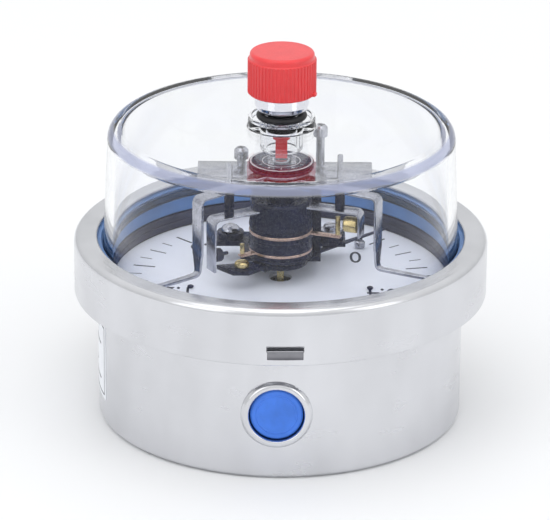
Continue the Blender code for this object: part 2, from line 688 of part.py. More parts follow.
def drums(black):
    """The four turned drums of the stack; their spigots carry the rings between them."""
    radius, core = DRUM_RADIUS, CORE_RADIUS
    low = BASE_LOW + BASE_SHEET + GAP
    turned("drum_lower", [
        (0, low), (radius - 1, low), (radius, low + 0.6), (radius, HIGH_RING_LEVEL - 1.3),
        (radius - 1.2, HIGH_RING_LEVEL - GAP),
        (core, HIGH_RING_LEVEL - GAP), (core, HIGH_RING_LEVEL + RING_SHEET),
        (0, HIGH_RING_LEVEL + RING_SHEET)], black, MIDDLE_SEGMENTS)
    low = HIGH_RING_LEVEL + RING_SHEET + GAP
    turned("drum_middle", [
        (0, low), (radius - 1.4, low), (radius - 0.1, low + 0.9), (radius - 0.8, low + 1.9),
        (radius, low + 2.6), (radius, LOW_RING_LEVEL - 1.3),
        (radius - 1.2, LOW_RING_LEVEL - GAP),
        (core, LOW_RING_LEVEL - GAP), (core, LOW_RING_LEVEL + RING_SHEET),
        (0, LOW_RING_LEVEL + RING_SHEET)], black, MIDDLE_SEGMENTS)
    low = LOW_RING_LEVEL + RING_SHEET + GAP
    top = HIGH_BRACKET_LEVEL - GAP
    turned("drum_upper", [
        (0, low), (radius - 1.4, low), (radius, low + 1), (radius - 0.6, top - 1.6),
        (radius - 2.4, top - 0.6), (core + 0.4, top), (core, top),
        (core, LOW_BRACKET_LEVEL + ARM_SHEET), (0, LOW_BRACKET_LEVEL + ARM_SHEET)],
        black, MIDDLE_SEGMENTS)
    low = LOW_BRACKET_LEVEL + ARM_SHEET + GAP
    neck = LOW_ARM_LEVEL - GAP
    upper = HIGH_ARM_LEVEL + ARM_SHEET + 0.2 + GAP
    turned("drum_top", [
        (0, low), (radius - 3, low), (radius - 0.4, low + 1.4), (radius - 0.1, neck),
        (CORE_RADIUS - 0.4, neck), (CORE_RADIUS - 0.4, upper), (radius + 0.1, upper),
        (radius + 0.1, HEAD_TOP), (HUB_RADIUS + GAP, HEAD_TOP),
        (HUB_RADIUS + GAP, HEAD_TOP - 3.6), (0, HEAD_TOP - 3.6)], black, MIDDLE_SEGMENTS)


def key_hub(zinc):
    """The slotted hub that the adjuster's blade drops into."""
    hub = rod("key_hub", HUB_RADIUS, HEAD_TOP - 3.3, HUB_HIGH, zinc, segments=MIDDLE_SEGMENTS)
    slot = box("hub_slot", (-BLADE_WIDTH / 2 - 0.25, -BLADE_THICKNESS / 2 - 0.25, HUB_HIGH - 4.1),
               (BLADE_WIDTH / 2 + 0.25, BLADE_THICKNESS / 2 + 0.25, HUB_HIGH + 1), zinc)
    cut(hub, slot)


def bridge(zinc):
    """The steel cross plate behind the stack and its two tall clamping screws."""
    plate_piece = box("bridge_plate", (-23, 3.5, BRIDGE_LEVEL), (25, 15.5, BRIDGE_LEVEL + 1), zinc)
    cut(plate_piece, rod("bridge_notch", DRUM_RADIUS + GAP, BRIDGE_LEVEL - 1, BRIDGE_LEVEL + 2,
                         zinc, segments=MIDDLE_SEGMENTS))
    foot = BRIDGE_LEVEL + 1 + GAP
    for label, place, tall in (("left", (-11, 11), 5.4), ("right", (10.7, 12), 11.8)):
        top, neck = foot + tall, foot + tall - 3.2
        screw = turned(f"bridge_screw_{label}", [
            (0, top), (1.3, top), (2, top - 0.7), (2, neck), (1.2, neck), (1.2, foot),
            (0, foot)], zinc, SMALL_SEGMENTS)
        screw.location = (place[0] * MM, place[1] * MM, 0)


def contact_arm(side, level, angle, reach, contact_high, bronze, brass):
    """A ring with a light arm and the brass contact standing at its end."""
    name = f"{side}_contact_arm"
    hoop = ring(name, CORE_RADIUS + 0.4, DRUM_RADIUS - 0.1, level, level + RING_SHEET,
                bronze, MIDDLE_SEGMENTS)
    arm = box(f"{side}_contact_blade", (DRUM_RADIUS - 1.2, -0.9, level),
              (reach + 0.9, 0.9, level + RING_SHEET), bronze)
    fuse(hoop, arm)
    swing(hoop, angle)
    place = (reach, 0.0)
    swing(rod(f"{side}_contact", 0.7, level + RING_SHEET + GAP, contact_high, brass, at=place,
              segments=PIN_SEGMENTS), angle)


def set_pointer(side, arm_level, arm_angle, bracket_level, bracket_angle, bracket_radius,
                bracket_foot, post_angle, pin_high, finishes):
    """One set pointer: the long arm to the scale, the insulating post and the bracket."""
    zinc = finishes["zinc"]
    middle = arm_level + 0.4
    arm = strip(f"{side}_pointer_arm", [
        (DRUM_RADIUS - 2.2, middle), (POINTER_KNEE_RADIUS, middle), (POINTER_KNEE_RADIUS, FOOT_LEVEL + 6),
        (POINTER_KNEE_RADIUS, FOOT_LEVEL + 5), (POINTER_KNEE_RADIUS, FOOT_LEVEL),
        (POINTER_REACH, FOOT_LEVEL)], [4.4, 3.8, 3.7, 2.2, 2.0, 1.6], 0.8, zinc)
    hoop = ring(f"{side}_arm_hoop", CORE_RADIUS - 0.1, DRUM_RADIUS - 1, arm_level,
                arm_level + 0.8, zinc, MIDDLE_SEGMENTS)
    pin_place = polar(POST_DISTANCE, post_angle - arm_angle)
    pin = rod(f"{side}_arm_pin", 0.8, arm_level + 0.3, pin_high, zinc, at=pin_place,
              segments=PIN_SEGMENTS)
    fuse(arm, hoop, pin)
    swing(arm, arm_angle)
    middle = bracket_level + ARM_SHEET / 2
    bracket = strip(f"{side}_bracket", [
        (DRUM_RADIUS - 2.2, middle), (bracket_radius, middle), (bracket_radius, bracket_foot)],
        [4.6, 4.8, 4.4], ARM_SHEET, zinc)
    fuse(bracket, ring(f"{side}_bracket_hoop", CORE_RADIUS + 0.4, DRUM_RADIUS - 1, bracket_level,
                       bracket_level + ARM_SHEET, zinc, MIDDLE_SEGMENTS))
    swing(bracket, bracket_angle)
    rod(f"{side}_post", POST_RADIUS, bracket_level + ARM_SHEET + GAP, arm_level - GAP,
        finishes["black"], at=polar(POST_DISTANCE, post_angle), segments=PIN_SEGMENTS)


def magnet(side, inner, outer, radius, level, angle, material, tip=0.0):
    """The round magnet holder on a bracket, lying outwards, with an optional contact pin."""
    outline = [(0, inner), (radius - 0.4, inner), (radius, inner + 0.4), (radius, outer), (0, outer)]
    if tip:
        outline = [(0, inner - tip), (0.5, inner - tip), (0.5, inner)] + outline[1:]
    piece = turned(f"{side}_magnet", outline, material, SMALL_SEGMENTS)
    lay(piece, angle, level)


def build_contact_head(finishes):
    contact_base(finishes["black"], finishes["zinc"])
    base_screw(finishes["brass"])
    drums(finishes["black"])
    ring("label_disc", HUB_RADIUS + GAP, DRUM_RADIUS + 0.1, HEAD_TOP + GAP, HEAD_TOP + 0.8,
         finishes["black"], MIDDLE_SEGMENTS)
    key_hub(finishes["zinc"])
    bridge(finishes["zinc"])
    contact_arm("low", LOW_RING_LEVEL, -19.0, 16.4, LOW_BRACKET_LEVEL - 1.8,
                finishes["bronze"], finishes["brass"])
    contact_arm("high", HIGH_RING_LEVEL, -147.0, 12.4, HIGH_RING_LEVEL + 3.6,
                finishes["bronze"], finishes["brass"])
    set_pointer("low", LOW_ARM_LEVEL, LOW_ARM_ANGLE, LOW_BRACKET_LEVEL, LOW_BRACKET_ANGLE,
                LOW_BRACKET_RADIUS, LOW_BRACKET_FOOT, LOW_POST_ANGLE, LOW_PIN_HIGH, finishes)
    set_pointer("high", HIGH_ARM_LEVEL, HIGH_ARM_ANGLE, HIGH_BRACKET_LEVEL, HIGH_BRACKET_ANGLE,
                HIGH_BRACKET_RADIUS, HIGH_BRACKET_FOOT, HIGH_POST_ANGLE, HIGH_PIN_HIGH, finishes)
    magnet("low", 18.4, LOW_BRACKET_RADIUS - 0.6, 2.2, DIAL_TOP + 18.4, -20.5, finishes["brass"])
    magnet("high", 19.0, HIGH_BRACKET_RADIUS - 0.6, 1.9, DIAL_TOP + 10.7, -147.5,
           finishes["grey"], tip=2.0)


# Adjuster ----------------------------------------------------------------------------------

def build_adjuster(finishes):
    """Knob with key blade, spring and thrust washer, in the bush on the window's boss."""
    shoulder = KNOB_HIGH - 1.8
    turned("knob_cap", [
        (0, KNOB_HIGH), (KNOB_RADIUS - 2, KNOB_HIGH), (KNOB_RADIUS - 0.9, KNOB_HIGH - 0.6),
        (KNOB_RADIUS - 0.6, shoulder), (KNOB_RADIUS, shoulder - 0.3),
        (KNOB_RADIUS, KNOB_LOW + 0.6), (KNOB_RADIUS - 0.4, KNOB_LOW),
        (KNOB_BORE, KNOB_LOW), (KNOB_BORE, KNOB_CEILING), (0, KNOB_CEILING)],
        finishes["red"], RING_SEGMENTS)
    turned("adjuster_bush", [
        (BUSH_BORE, WINDOW_HIGH - 3), (4, WINDOW_HIGH - 3), (4, BUSH_LOW),
        (BUSH_RADIUS - 1.4, BUSH_LOW), (BUSH_RADIUS - 0.4, BUSH_LOW + 0.9),
        (BUSH_RADIUS, BUSH_LOW + 2.2), (BUSH_RADIUS, BUSH_HIGH),
        (BUSH_RADIUS - 1.6, BUSH_HIGH),
        (BUSH_RADIUS - 1.6, BUSH_LOW + 1.9), (BUSH_BORE, BUSH_LOW + 1.9)],
        finishes["chrome"], MIDDLE_SEGMENTS)
    seal_level = BUSH_LOW - GAP - 1.1
    turned("bush_seal", [(5.8 + 1.1 * math.cos(math.tau * step / 6),
                          seal_level + 1.1 * math.sin(math.tau * step / 6))
                         for step in range(6)], finishes["rubber"], MIDDLE_SEGMENTS)
    ring("adjuster_spring", SHAFT_RADIUS + 0.9, BUSH_RADIUS - 2.5, BUSH_LOW + 2.2,
         KNOB_CEILING - 1.7, finishes["zinc"], MIDDLE_SEGMENTS)
    ring("thrust_washer", SHAFT_RADIUS + GAP, BUSH_RADIUS - 2, KNOB_CEILING - 1.4,
         KNOB_CEILING - 0.6, finishes["zinc"], MIDDLE_SEGMENTS)
    blade_low = HUB_HIGH + GAP
    shaft = rod("key_blade", SHAFT_RADIUS, blade_low + 5.8, KNOB_CEILING - GAP,
                finishes["red"], segments=MIDDLE_SEGMENTS)
    half, thin = BLADE_WIDTH / 2, BLADE_THICKNESS / 2
    fuse(shaft, box("blade_tip", (-half, -thin, blade_low), (half, thin, blade_low + 8),
                    finishes["red"]))


def main():
    """Clear the scene and build the gauge."""
    for leftover in list(bpy.data.objects):
        bpy.data.objects.remove(leftover)
    finishes = make_materials()
    build_enclosure(finishes)
    build_movement(finishes)
    build_dial(finishes)
    build_contact_head(finishes)
    build_adjuster(finishes)


main()
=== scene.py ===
"""Finished look of a contact pressure gauge lying on its back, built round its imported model.

Lengths in this file are millimetres and become metres where a mesh is made. +Z runs out
through the window, twelve o'clock on the dial points along -Y, and angles on the dial are in
degrees, counted from +X towards +Y.
"""

import sys
import json
import logging
import math
from collections.abc import Iterable, Mapping, Sequence
from dataclasses import dataclass, field
from enum import Enum
from functools import lru_cache
from typing import Any

import bmesh
import bpy
from mathutils import Matrix, Vector


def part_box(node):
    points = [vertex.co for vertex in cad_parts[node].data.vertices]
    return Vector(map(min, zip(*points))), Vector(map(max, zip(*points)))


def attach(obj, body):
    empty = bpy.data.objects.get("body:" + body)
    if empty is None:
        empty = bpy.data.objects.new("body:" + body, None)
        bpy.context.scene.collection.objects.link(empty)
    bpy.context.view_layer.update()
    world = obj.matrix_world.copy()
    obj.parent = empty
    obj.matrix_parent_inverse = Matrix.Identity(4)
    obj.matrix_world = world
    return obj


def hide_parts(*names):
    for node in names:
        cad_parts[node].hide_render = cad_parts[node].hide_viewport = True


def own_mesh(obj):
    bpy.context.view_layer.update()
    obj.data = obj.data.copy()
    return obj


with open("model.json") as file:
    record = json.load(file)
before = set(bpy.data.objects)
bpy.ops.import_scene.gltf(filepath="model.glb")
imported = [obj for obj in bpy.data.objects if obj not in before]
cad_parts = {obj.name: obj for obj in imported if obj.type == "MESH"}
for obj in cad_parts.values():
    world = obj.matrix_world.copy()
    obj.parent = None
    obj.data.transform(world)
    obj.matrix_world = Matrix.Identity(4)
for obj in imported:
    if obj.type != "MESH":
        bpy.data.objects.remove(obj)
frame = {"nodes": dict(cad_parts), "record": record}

LOG = logging.getLogger("gauge")
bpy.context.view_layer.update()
MM = 0.001
PER_MM = 1000.0
WIDE_SEGMENTS = 192
ROUND_SEGMENTS = 144
NARROW_SEGMENTS = 96
SMALL_SEGMENTS = 64
FULL_TURN = 2 * math.pi
GAP = 0.3  # clearance between neighbouring pieces
HOLD = 1.02  # an extra loop this far past a rounding keeps the flat face beside it flat

Colour = tuple[float, float, float]
Place = tuple[float, float, float]
Corner = tuple[float, ...]
BODY_OF: dict[str, str] = {
    node: body
    for body, nodes in frame["record"]["behaviour"]["bodies"].items()
    for node in nodes
}


# Finishes ----------------------------------------------------------------------------------


class Graph:
    """A material's node tree, with one short call for each kind of node it uses."""

    def __init__(self, name: str) -> None:
        """Start a material that holds a Principled shader and Object coordinates."""
        self.material = bpy.data.materials.new(name)
        self.material.use_nodes = True
        self.nodes = self.material.node_tree.nodes
        self.links = self.material.node_tree.links
        self.shader = self.nodes["Principled BSDF"]
        self.output = self.nodes["Material Output"]
        self.object_place = self.nodes.new("ShaderNodeTexCoord").outputs["Object"]

    def stretched(self, lengths: Place) -> Any:
        """Object coordinates in units of the given lengths.

        Args:
            lengths: size in millimetres of one pattern cell along X, Y and Z.

        Returns:
            The vector socket.
        """
        mapping = self.nodes.new("ShaderNodeMapping")
        mapping.inputs["Scale"].default_value = [PER_MM / length for length in lengths]
        self.links.new(self.object_place, mapping.inputs["Vector"])
        return mapping.outputs["Vector"]

    def noise(self, lengths: Place, detail: float = 4.0) -> Any:
        """A cloud pattern whose cells have the given lengths, from 0 to 1.

        Args:
            lengths: size in millimetres of one cell along X, Y and Z.
            detail: how many finer layers it holds.

        Returns:
            The factor socket.
        """
        cloud = self.nodes.new("ShaderNodeTexNoise")
        cloud.inputs["Scale"].default_value = 1.0
        cloud.inputs["Detail"].default_value = detail
        self.links.new(self.stretched(lengths), cloud.inputs["Vector"])
        return cloud.outputs["Fac"]

    def blend(self, factor: Any, dark: Colour, light: Colour) -> Any:
        """A colour that runs from dark to light with a factor.

        Args:
            factor: the factor socket.
            dark: linear colour at the low end.
            light: linear colour at the high end.

        Returns:
            The colour socket.
        """
        ramp = self.nodes.new("ShaderNodeValToRGB")
        ramp.color_ramp.elements[0].position = 0.3
        ramp.color_ramp.elements[1].position = 0.7
        ramp.color_ramp.elements[0].color = (*dark, 1.0)
        ramp.color_ramp.elements[1].color = (*light, 1.0)
        self.links.new(factor, ramp.inputs["Fac"])
        return ramp.outputs["Color"]

    def between(self, factor: Any, low: float, high: float) -> Any:
        """A value that runs from low to high with a factor.

        Args:
            factor: the factor socket.
            low: value where the factor is 0.3.
            high: value where the factor is 0.7.

        Returns:
            The value socket.
        """
        span = self.nodes.new("ShaderNodeMapRange")
        span.inputs["From Min"].default_value = 0.3
        span.inputs["From Max"].default_value = 0.7
        span.inputs["To Min"].default_value = low
        span.inputs["To Max"].default_value = high
        self.links.new(factor, span.inputs["Value"])
        return span.outputs["Result"]

    def relief(self, height: Any, depth: float) -> None:
        """Turn a pattern into relief of a depth in millimetres on the shader."""
        bump = self.nodes.new("ShaderNodeBump")
        bump.inputs["Strength"].default_value = 1.0
        bump.inputs["Distance"].default_value = depth * MM
        self.links.new(height, bump.inputs["Height"])
        self.links.new(bump.outputs["Normal"], self.shader.inputs["Normal"])

    def set(self, **values: float) -> None:
        """Set uniform numbers on the shader's own sockets, by name with _ for a space."""
        for name, value in values.items():
            self.shader.inputs[name.replace("_", " ")].default_value = value

    def join(self, source: Any, name: str) -> None:
        """Link a socket to one of the shader's sockets."""
        self.links.new(source, self.shader.inputs[name])


@dataclass(frozen=True)
class Finish:
    """A surface: its tone, how the tone wanders, and the grain in its gloss and relief."""

    name: str
    slot: str
    tone: Colour
    drift: float = 0.06
    patch: Place = (9.0, 9.0, 9.0)
    grain: Place = (0.6, 0.6, 0.6)
    depth: float = 0.004
    gloss: tuple[float, float] = (0.3, 0.4)
    metallic: float = 0.0
    coat: float = 0.0
    specular: float = 0.5
    soft: float = 0.0

    def make(self) -> bpy.types.Material:
        """Build the material.

        Returns:
            The new material.
        """
        graph = Graph(self.name)
        dark = tuple(part * (1 - self.drift) for part in self.tone)
        light = tuple(min(part * (1 + self.drift), 1.0) for part in self.tone)
        graph.join(graph.blend(graph.noise(self.patch), dark, light), "Base Color")
        grain = graph.noise(self.grain, 2.0)
        graph.join(graph.between(grain, *self.gloss), "Roughness")
        graph.relief(grain, self.depth)
        graph.set(Metallic=self.metallic, Specular_IOR_Level=self.specular)
        if self.coat:
            graph.set(Coat_Weight=self.coat, Coat_Roughness=0.12)
        if self.soft:
            graph.set(Subsurface_Weight=self.soft, Subsurface_Scale=0.0015)
        return graph.material


@dataclass(frozen=True)
class ClearFinish:
    """Clear moulded plastic with faint flow lines and a painted violet sheen round its top rim,
    which lets lamp light through.
    """

    name: str
    slot: str
    tint: Colour = (0.975, 0.98, 1.0)
    index: float = 1.3
    flow: Place = (14.0, 14.0, 30.0)
    flow_depth: float = 0.012
    gloss: tuple[float, float] = (0.0, 0.03)
    # Colour, cloudiness and zone of the painted sheen on the top rim.
    painted_sheen_tone: Colour = (0.44, 0.47, 0.63)
    sheen_level: float = 79.4
    sheen_radius: float = 45.0
    sheen_width: float = 1.0
    painted_sheen_haze: float = 0.5

    def edge(self, graph: Graph) -> Any:
        """Where the violet sheen is painted, round the moulding's thick, rounded top edge, from
        0 to 1.

        Args:
            graph: the material's node tree.

        Returns:
            The factor socket.
        """
        def step_up(source: Any, start: float) -> Any:
            """A factor that rises from 0 to 1 over the edge's width."""
            rise = graph.nodes.new("ShaderNodeMapRange")
            rise.interpolation_type = "SMOOTHSTEP"
            rise.inputs["From Min"].default_value = start * MM
            rise.inputs["From Max"].default_value = (start + self.sheen_width) * MM
            graph.links.new(source, rise.inputs["Value"])
            return rise.outputs["Result"]

        flat = graph.nodes.new("ShaderNodeVectorMath")
        flat.operation = "MULTIPLY"
        flat.inputs[1].default_value = (1.0, 1.0, 0.0)
        graph.links.new(graph.object_place, flat.inputs[0])
        length = graph.nodes.new("ShaderNodeVectorMath")
        length.operation = "LENGTH"
        graph.links.new(flat.outputs["Vector"], length.inputs[0])
        parts = graph.nodes.new("ShaderNodeSeparateXYZ")
        graph.links.new(graph.object_place, parts.inputs[0])
        both = graph.nodes.new("ShaderNodeMath")
        both.operation = "MULTIPLY"
        graph.links.new(step_up(parts.outputs["Z"], self.sheen_level), both.inputs[0])
        graph.links.new(step_up(length.outputs["Value"], self.sheen_radius), both.inputs[1])
        return both.outputs["Value"]

    def make(self) -> bpy.types.Material:
        """Build the material.

        Returns:
            The new material.
        """
        graph = Graph(self.name)
        flow = graph.noise(self.flow, 1.0)
        paler = tuple(min(part * 1.02, 1.0) for part in self.tint)
        edge = self.edge(graph)
        # Painted sheen: the rim zone turns violet, standing in for light that the thick rounded
        # rim catches.
        tone = graph.nodes.new("ShaderNodeMixRGB")
        tone.inputs["Color2"].default_value = (*self.painted_sheen_tone, 1.0)
        graph.links.new(edge, tone.inputs["Fac"])
        graph.links.new(graph.blend(flow, self.tint, paler), tone.inputs["Color1"])
        graph.join(tone.outputs["Color"], "Base Color")
        # The rim zone is made partly cloudy so that the painted sheen shows in it.
        clear = graph.nodes.new("ShaderNodeMapRange")
        clear.inputs["To Min"].default_value = 1.0
        clear.inputs["To Max"].default_value = 1.0 - self.painted_sheen_haze
        graph.links.new(edge, clear.inputs["Value"])
        graph.join(clear.outputs["Result"], "Transmission Weight")
        graph.join(graph.between(graph.noise((3.0, 3.0, 3.0)), *self.gloss), "Roughness")
        graph.relief(flow, self.flow_depth)
        graph.set(IOR=self.index)
        passing = graph.nodes.new("ShaderNodeBsdfTransparent")
        passing.inputs["Color"].default_value = (*self.tint, 1.0)
        mixed = graph.nodes.new("ShaderNodeMixShader")
        path = graph.nodes.new("ShaderNodeLightPath")
        graph.links.new(path.outputs["Is Shadow Ray"], mixed.inputs["Fac"])
        graph.links.new(graph.shader.outputs["BSDF"], mixed.inputs[1])
        graph.links.new(passing.outputs["BSDF"], mixed.inputs[2])
        graph.links.new(mixed.outputs["Shader"], graph.output.inputs["Surface"])
        return graph.material


@lru_cache(maxsize=None)
def material_of(finish: Finish | ClearFinish) -> bpy.types.Material:
    """The one material of a finish, made at its first use."""
    return finish.make()


DRAWN_STEEL = Finish(
    "drawn_stainless", "brushed_stainless", (0.67, 0.675, 0.7), drift=0.07,
    patch=(16.0, 16.0, 34.0), grain=(14.0, 14.0, 4.0), depth=0.0001, gloss=(0.2, 0.28),
    metallic=1.0)
# The lugs are the bezel's own steel; this darker tone is painted shade in the slots above them.
SHADED_LUG_STEEL = Finish(
    "pressed_lug_painted_shade", "brushed_stainless", (0.26, 0.26, 0.28), drift=0.1, patch=(3.0, 3.0, 3.0),
    grain=(0.5, 0.5, 0.5), depth=0.001, gloss=(0.28, 0.4), metallic=1.0)
TURNED_STEEL = Finish(
    "turned_stainless", "brushed_stainless", (0.6, 0.605, 0.62), drift=0.08,
    patch=(6.0, 6.0, 6.0), grain=(0.3, 0.3, 0.3), depth=0.002, gloss=(0.22, 0.34),
    metallic=1.0)
CHROME = Finish(
    "chromed_bush", "chromed", (0.8, 0.8, 0.84), drift=0.03, grain=(1.0, 1.0, 0.1),
    depth=0.0006, gloss=(0.05, 0.1), metallic=1.0)
PLATED = Finish(
    "plated_strip", "plated_steel", (0.42, 0.43, 0.48), drift=0.2, patch=(3.0, 3.0, 4.0),
    grain=(0.6, 0.6, 1.2), depth=0.001, gloss=(0.16, 0.28), metallic=1.0)
BRASS = Finish(
    "turned_brass", "brass", (0.62, 0.5, 0.25), drift=0.12, patch=(2.5, 2.5, 2.5),
    grain=(0.3, 0.3, 0.3), depth=0.002, gloss=(0.2, 0.34), metallic=1.0)
BRONZE = Finish(
    "rolled_bronze", "bronze", (0.56, 0.4, 0.33), drift=0.12, patch=(4.0, 4.0, 4.0),
    grain=(0.4, 0.4, 0.4), depth=0.002, gloss=(0.22, 0.36), metallic=1.0)
BLACK_MOULDING = Finish(
    "black_moulding", "black_moulding", (0.009, 0.012, 0.034), drift=0.25,
    patch=(5.0, 5.0, 5.0), grain=(0.8, 0.8, 0.8), depth=0.002, gloss=(0.22, 0.32),
    specular=0.22)
DARK_ENAMEL = Finish(
    "dark_enamel", "dark_enamel", (0.03, 0.033, 0.065), drift=0.2, patch=(6.0, 6.0, 6.0),
    grain=(0.8, 0.8, 0.8), depth=0.002, gloss=(0.35, 0.5), specular=0.3)
BLACK_RUBBER = Finish(
    "black_rubber", "black_rubber", (0.008, 0.008, 0.01), drift=0.3, patch=(3.0, 3.0, 3.0),
    grain=(0.2, 0.2, 0.2), depth=0.008, gloss=(0.4, 0.6))
RED_PLASTIC = Finish(
    "red_cap", "red_plastic", (0.8, 0.042, 0.048), drift=0.05, patch=(4.0, 4.0, 8.0),
    grain=(0.5, 0.5, 0.5), depth=0.003, gloss=(0.3, 0.4), coat=0.25, soft=0.12)
BLUE_RUBBER = Finish(
    "blue_rubber", "blue_rubber", (0.045, 0.185, 0.72), drift=0.1, patch=(3.5, 3.5, 3.5),
    grain=(0.5, 0.5, 0.5), depth=0.003, gloss=(0.35, 0.5))
GASKET_RUBBER = Finish(
    "gasket_rubber", "blue_rubber", (0.09, 0.2, 0.44), drift=0.15, patch=(5.0, 5.0, 5.0),
    grain=(0.5, 0.5, 0.5), depth=0.003, gloss=(0.3, 0.45))
DIAL_ENAMEL = Finish(
    "dial_enamel", "white_enamel", (0.86, 0.89, 0.97), drift=0.015, patch=(11.0, 11.0, 11.0),
    grain=(0.4, 0.4, 0.4), depth=0.002, gloss=(0.3, 0.42))
INK = Finish(
    "dial_ink", "black_moulding", (0.012, 0.014, 0.03), drift=0.3, patch=(0.8, 0.8, 0.8),
    grain=(0.15, 0.15, 0.15), depth=0.001, gloss=(0.4, 0.6))
PALE_PRINT = Finish(
    "pale_print", "white_enamel", (0.72, 0.7, 0.72), drift=0.12, patch=(0.6, 0.6, 0.6),
    grain=(0.15, 0.15, 0.15), depth=0.001, gloss=(0.35, 0.55))
PAPER = Finish(
    "sticker_paper", "white_enamel", (0.86, 0.88, 0.92), drift=0.02, patch=(4.0, 4.0, 4.0),
    grain=(0.2, 0.2, 0.2), depth=0.002, gloss=(0.4, 0.55))
CLEAR = ClearFinish("clear_moulding", "clear_plastic")


# Meshes ------------------------------------------------------------------------------------


def span(node: str) -> tuple[Place, Place]:
    """Lowest and highest corner of a CAD node, in millimetres."""
    low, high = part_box(node)
    return tuple(low * PER_MM), tuple(high * PER_MM)


def reach(node: str) -> float:
    """Outer radius of a round CAD node that stands on the Z axis, in millimetres."""
    return span(node)[1][0]


def levels(node: str) -> tuple[float, float]:
    """Lowest and highest Z of a CAD node, in millimetres."""
    low, high = span(node)
    return low[2], high[2]


def shown(name: str, mesh: bpy.types.Mesh, sharp: float = 38.0) -> bpy.types.Object:
    """Put a mesh in the scene as a smooth piece with crisp corners.

    Args:
        name: the piece's name.
        mesh: its finished mesh, in metres.
        sharp: angle in degrees above which an edge stays crisp.

    Returns:
        The new object.
    """
    mesh.name = name
    mesh.shade_smooth()
    mesh.set_sharp_from_angle(angle=math.radians(sharp))
    piece = bpy.data.objects.new(name, mesh)
    bpy.context.scene.collection.objects.link(piece)
    return piece


def meshed(name: str, bm: bmesh.types.BMesh) -> bpy.types.Mesh:
    """Turn a bmesh in millimetres into a mesh in metres with its normals outward."""
    bmesh.ops.remove_doubles(bm, verts=bm.verts, dist=1e-4)
    bmesh.ops.recalc_face_normals(bm, faces=bm.faces)
    bmesh.ops.scale(bm, vec=(MM, MM, MM), verts=bm.verts)
    mesh = bpy.data.meshes.new(name)
    bm.to_mesh(mesh)
    bm.free()
    return mesh


def rounded(corners: Sequence[Corner], closed: bool, steps: int = 4) -> list[Vector]:
    """An outline whose corners are rounded.

    Args:
        corners: (radius, height) points, each with an optional corner radius.
        closed: whether the last corner joins the first.
        steps: how many edges make a rounded corner.

    Returns:
        The points of the outline.
    """
    count = len(corners)
    points = [Vector(corner[:2]) for corner in corners]
    outline: list[Vector] = []
    for i, corner in enumerate(corners):
        point, size = points[i], corner[2] if len(corner) > 2 else 0.0
        if size == 0.0 or (not closed and i in (0, count - 1)):
            outline.append(point)
            continue
        back = points[i - 1] - point
        ahead = points[(i + 1) % count] - point
        half = back.angle(ahead) / 2
        run = min(size / math.tan(half), back.length * 0.49, ahead.length * 0.49)
        size = run * math.tan(half)
        back.normalize()
        ahead.normalize()
        centre = point + (back + ahead).normalized() * size / math.sin(half)
        start = point + back * run - centre
        turn = start.angle_signed(point + ahead * run - centre)
        outline.append(point + back * run * HOLD)
        for step in range(steps + 1):
            arm = start.copy()
            arm.rotate(Matrix.Rotation(-turn * step / steps, 2))
            outline.append(centre + arm)
        outline.append(point + ahead * run * HOLD)
    return outline


def turned(name: str, corners: Sequence[Corner], segments: int = ROUND_SEGMENTS,
           place: Matrix | None = None) -> bpy.types.Object:
    """A piece turned about Z.

    Args:
        name: the piece's name.
        corners: (radius, height) points with an optional corner radius, as a loop, or with
            both ends on the axis.
        segments: how many steps make a full turn.
        place: where the piece is laid, in millimetres.

    Returns:
        The new object.
    """
    open_ends = corners[0][0] == 0 and corners[-1][0] == 0
    bm = bmesh.new()
    points = [bm.verts.new((p.x, 0.0, p.y)) for p in rounded(corners, not open_ends)]
    partners = points[1:] if open_ends else points[1:] + points[:1]
    edges = [bm.edges.new(pair) for pair in zip(points, partners)]
    bmesh.ops.spin(bm, geom=points + edges, cent=(0, 0, 0), axis=(0, 0, 1), angle=FULL_TURN,
                   steps=segments, use_merge=True)
    if place is not None:
        bmesh.ops.transform(bm, matrix=place, verts=bm.verts)
    return shown(name, meshed(name, bm))


def laid(angle: float, height: float, sideways: float = 0.0) -> Matrix:
    """The place of a piece turned about Z that points outwards from the case.

    Args:
        angle: its direction on the dial, in degrees.
        height: the height of its axis, in millimetres.
        sideways: how far it is moved along X.

    Returns:
        The matrix, in millimetres.
    """
    outward = Matrix.Rotation(math.radians(angle), 4, "Z") @ Matrix.Rotation(math.pi / 2, 4, "Y")
    return Matrix.Translation((sideways, 0, height)) @ outward


def block(name: str, low: Place, high: Place, rounding: float = 0.2,
          place: Matrix | None = None) -> bpy.types.Object:
    """A block between two corners, with every edge rounded.

    Args:
        name: the piece's name.
        low: its lowest corner.
        high: its highest corner.
        rounding: radius of the edges.
        place: where it is moved after that, in millimetres.

    Returns:
        The new object.
    """
    bm = bmesh.new()
    bmesh.ops.create_cube(bm, size=1.0)
    bmesh.ops.scale(bm, vec=Vector(high) - Vector(low), verts=bm.verts)
    bmesh.ops.translate(bm, vec=(Vector(high) + Vector(low)) / 2, verts=bm.verts)
    if rounding:
        bmesh.ops.bevel(bm, geom=bm.edges[:], offset=rounding, segments=3, profile=0.5,
                        affect="EDGES")
    if place is not None:
        bmesh.ops.transform(bm, matrix=place, verts=bm.verts)
    return shown(name, meshed(name, bm))


def solid_result(piece: bpy.types.Object) -> bpy.types.Object:
    """Make a piece's modifiers part of its mesh, and clean what they leave."""
    graph = bpy.context.evaluated_depsgraph_get()
    mesh = bpy.data.meshes.new_from_object(piece.evaluated_get(graph), depsgraph=graph)
    piece.modifiers.clear()
    piece.data = mesh
    mesh.name = piece.name
    mesh.shade_smooth()
    mesh.set_sharp_from_angle(angle=math.radians(38.0))
    return piece


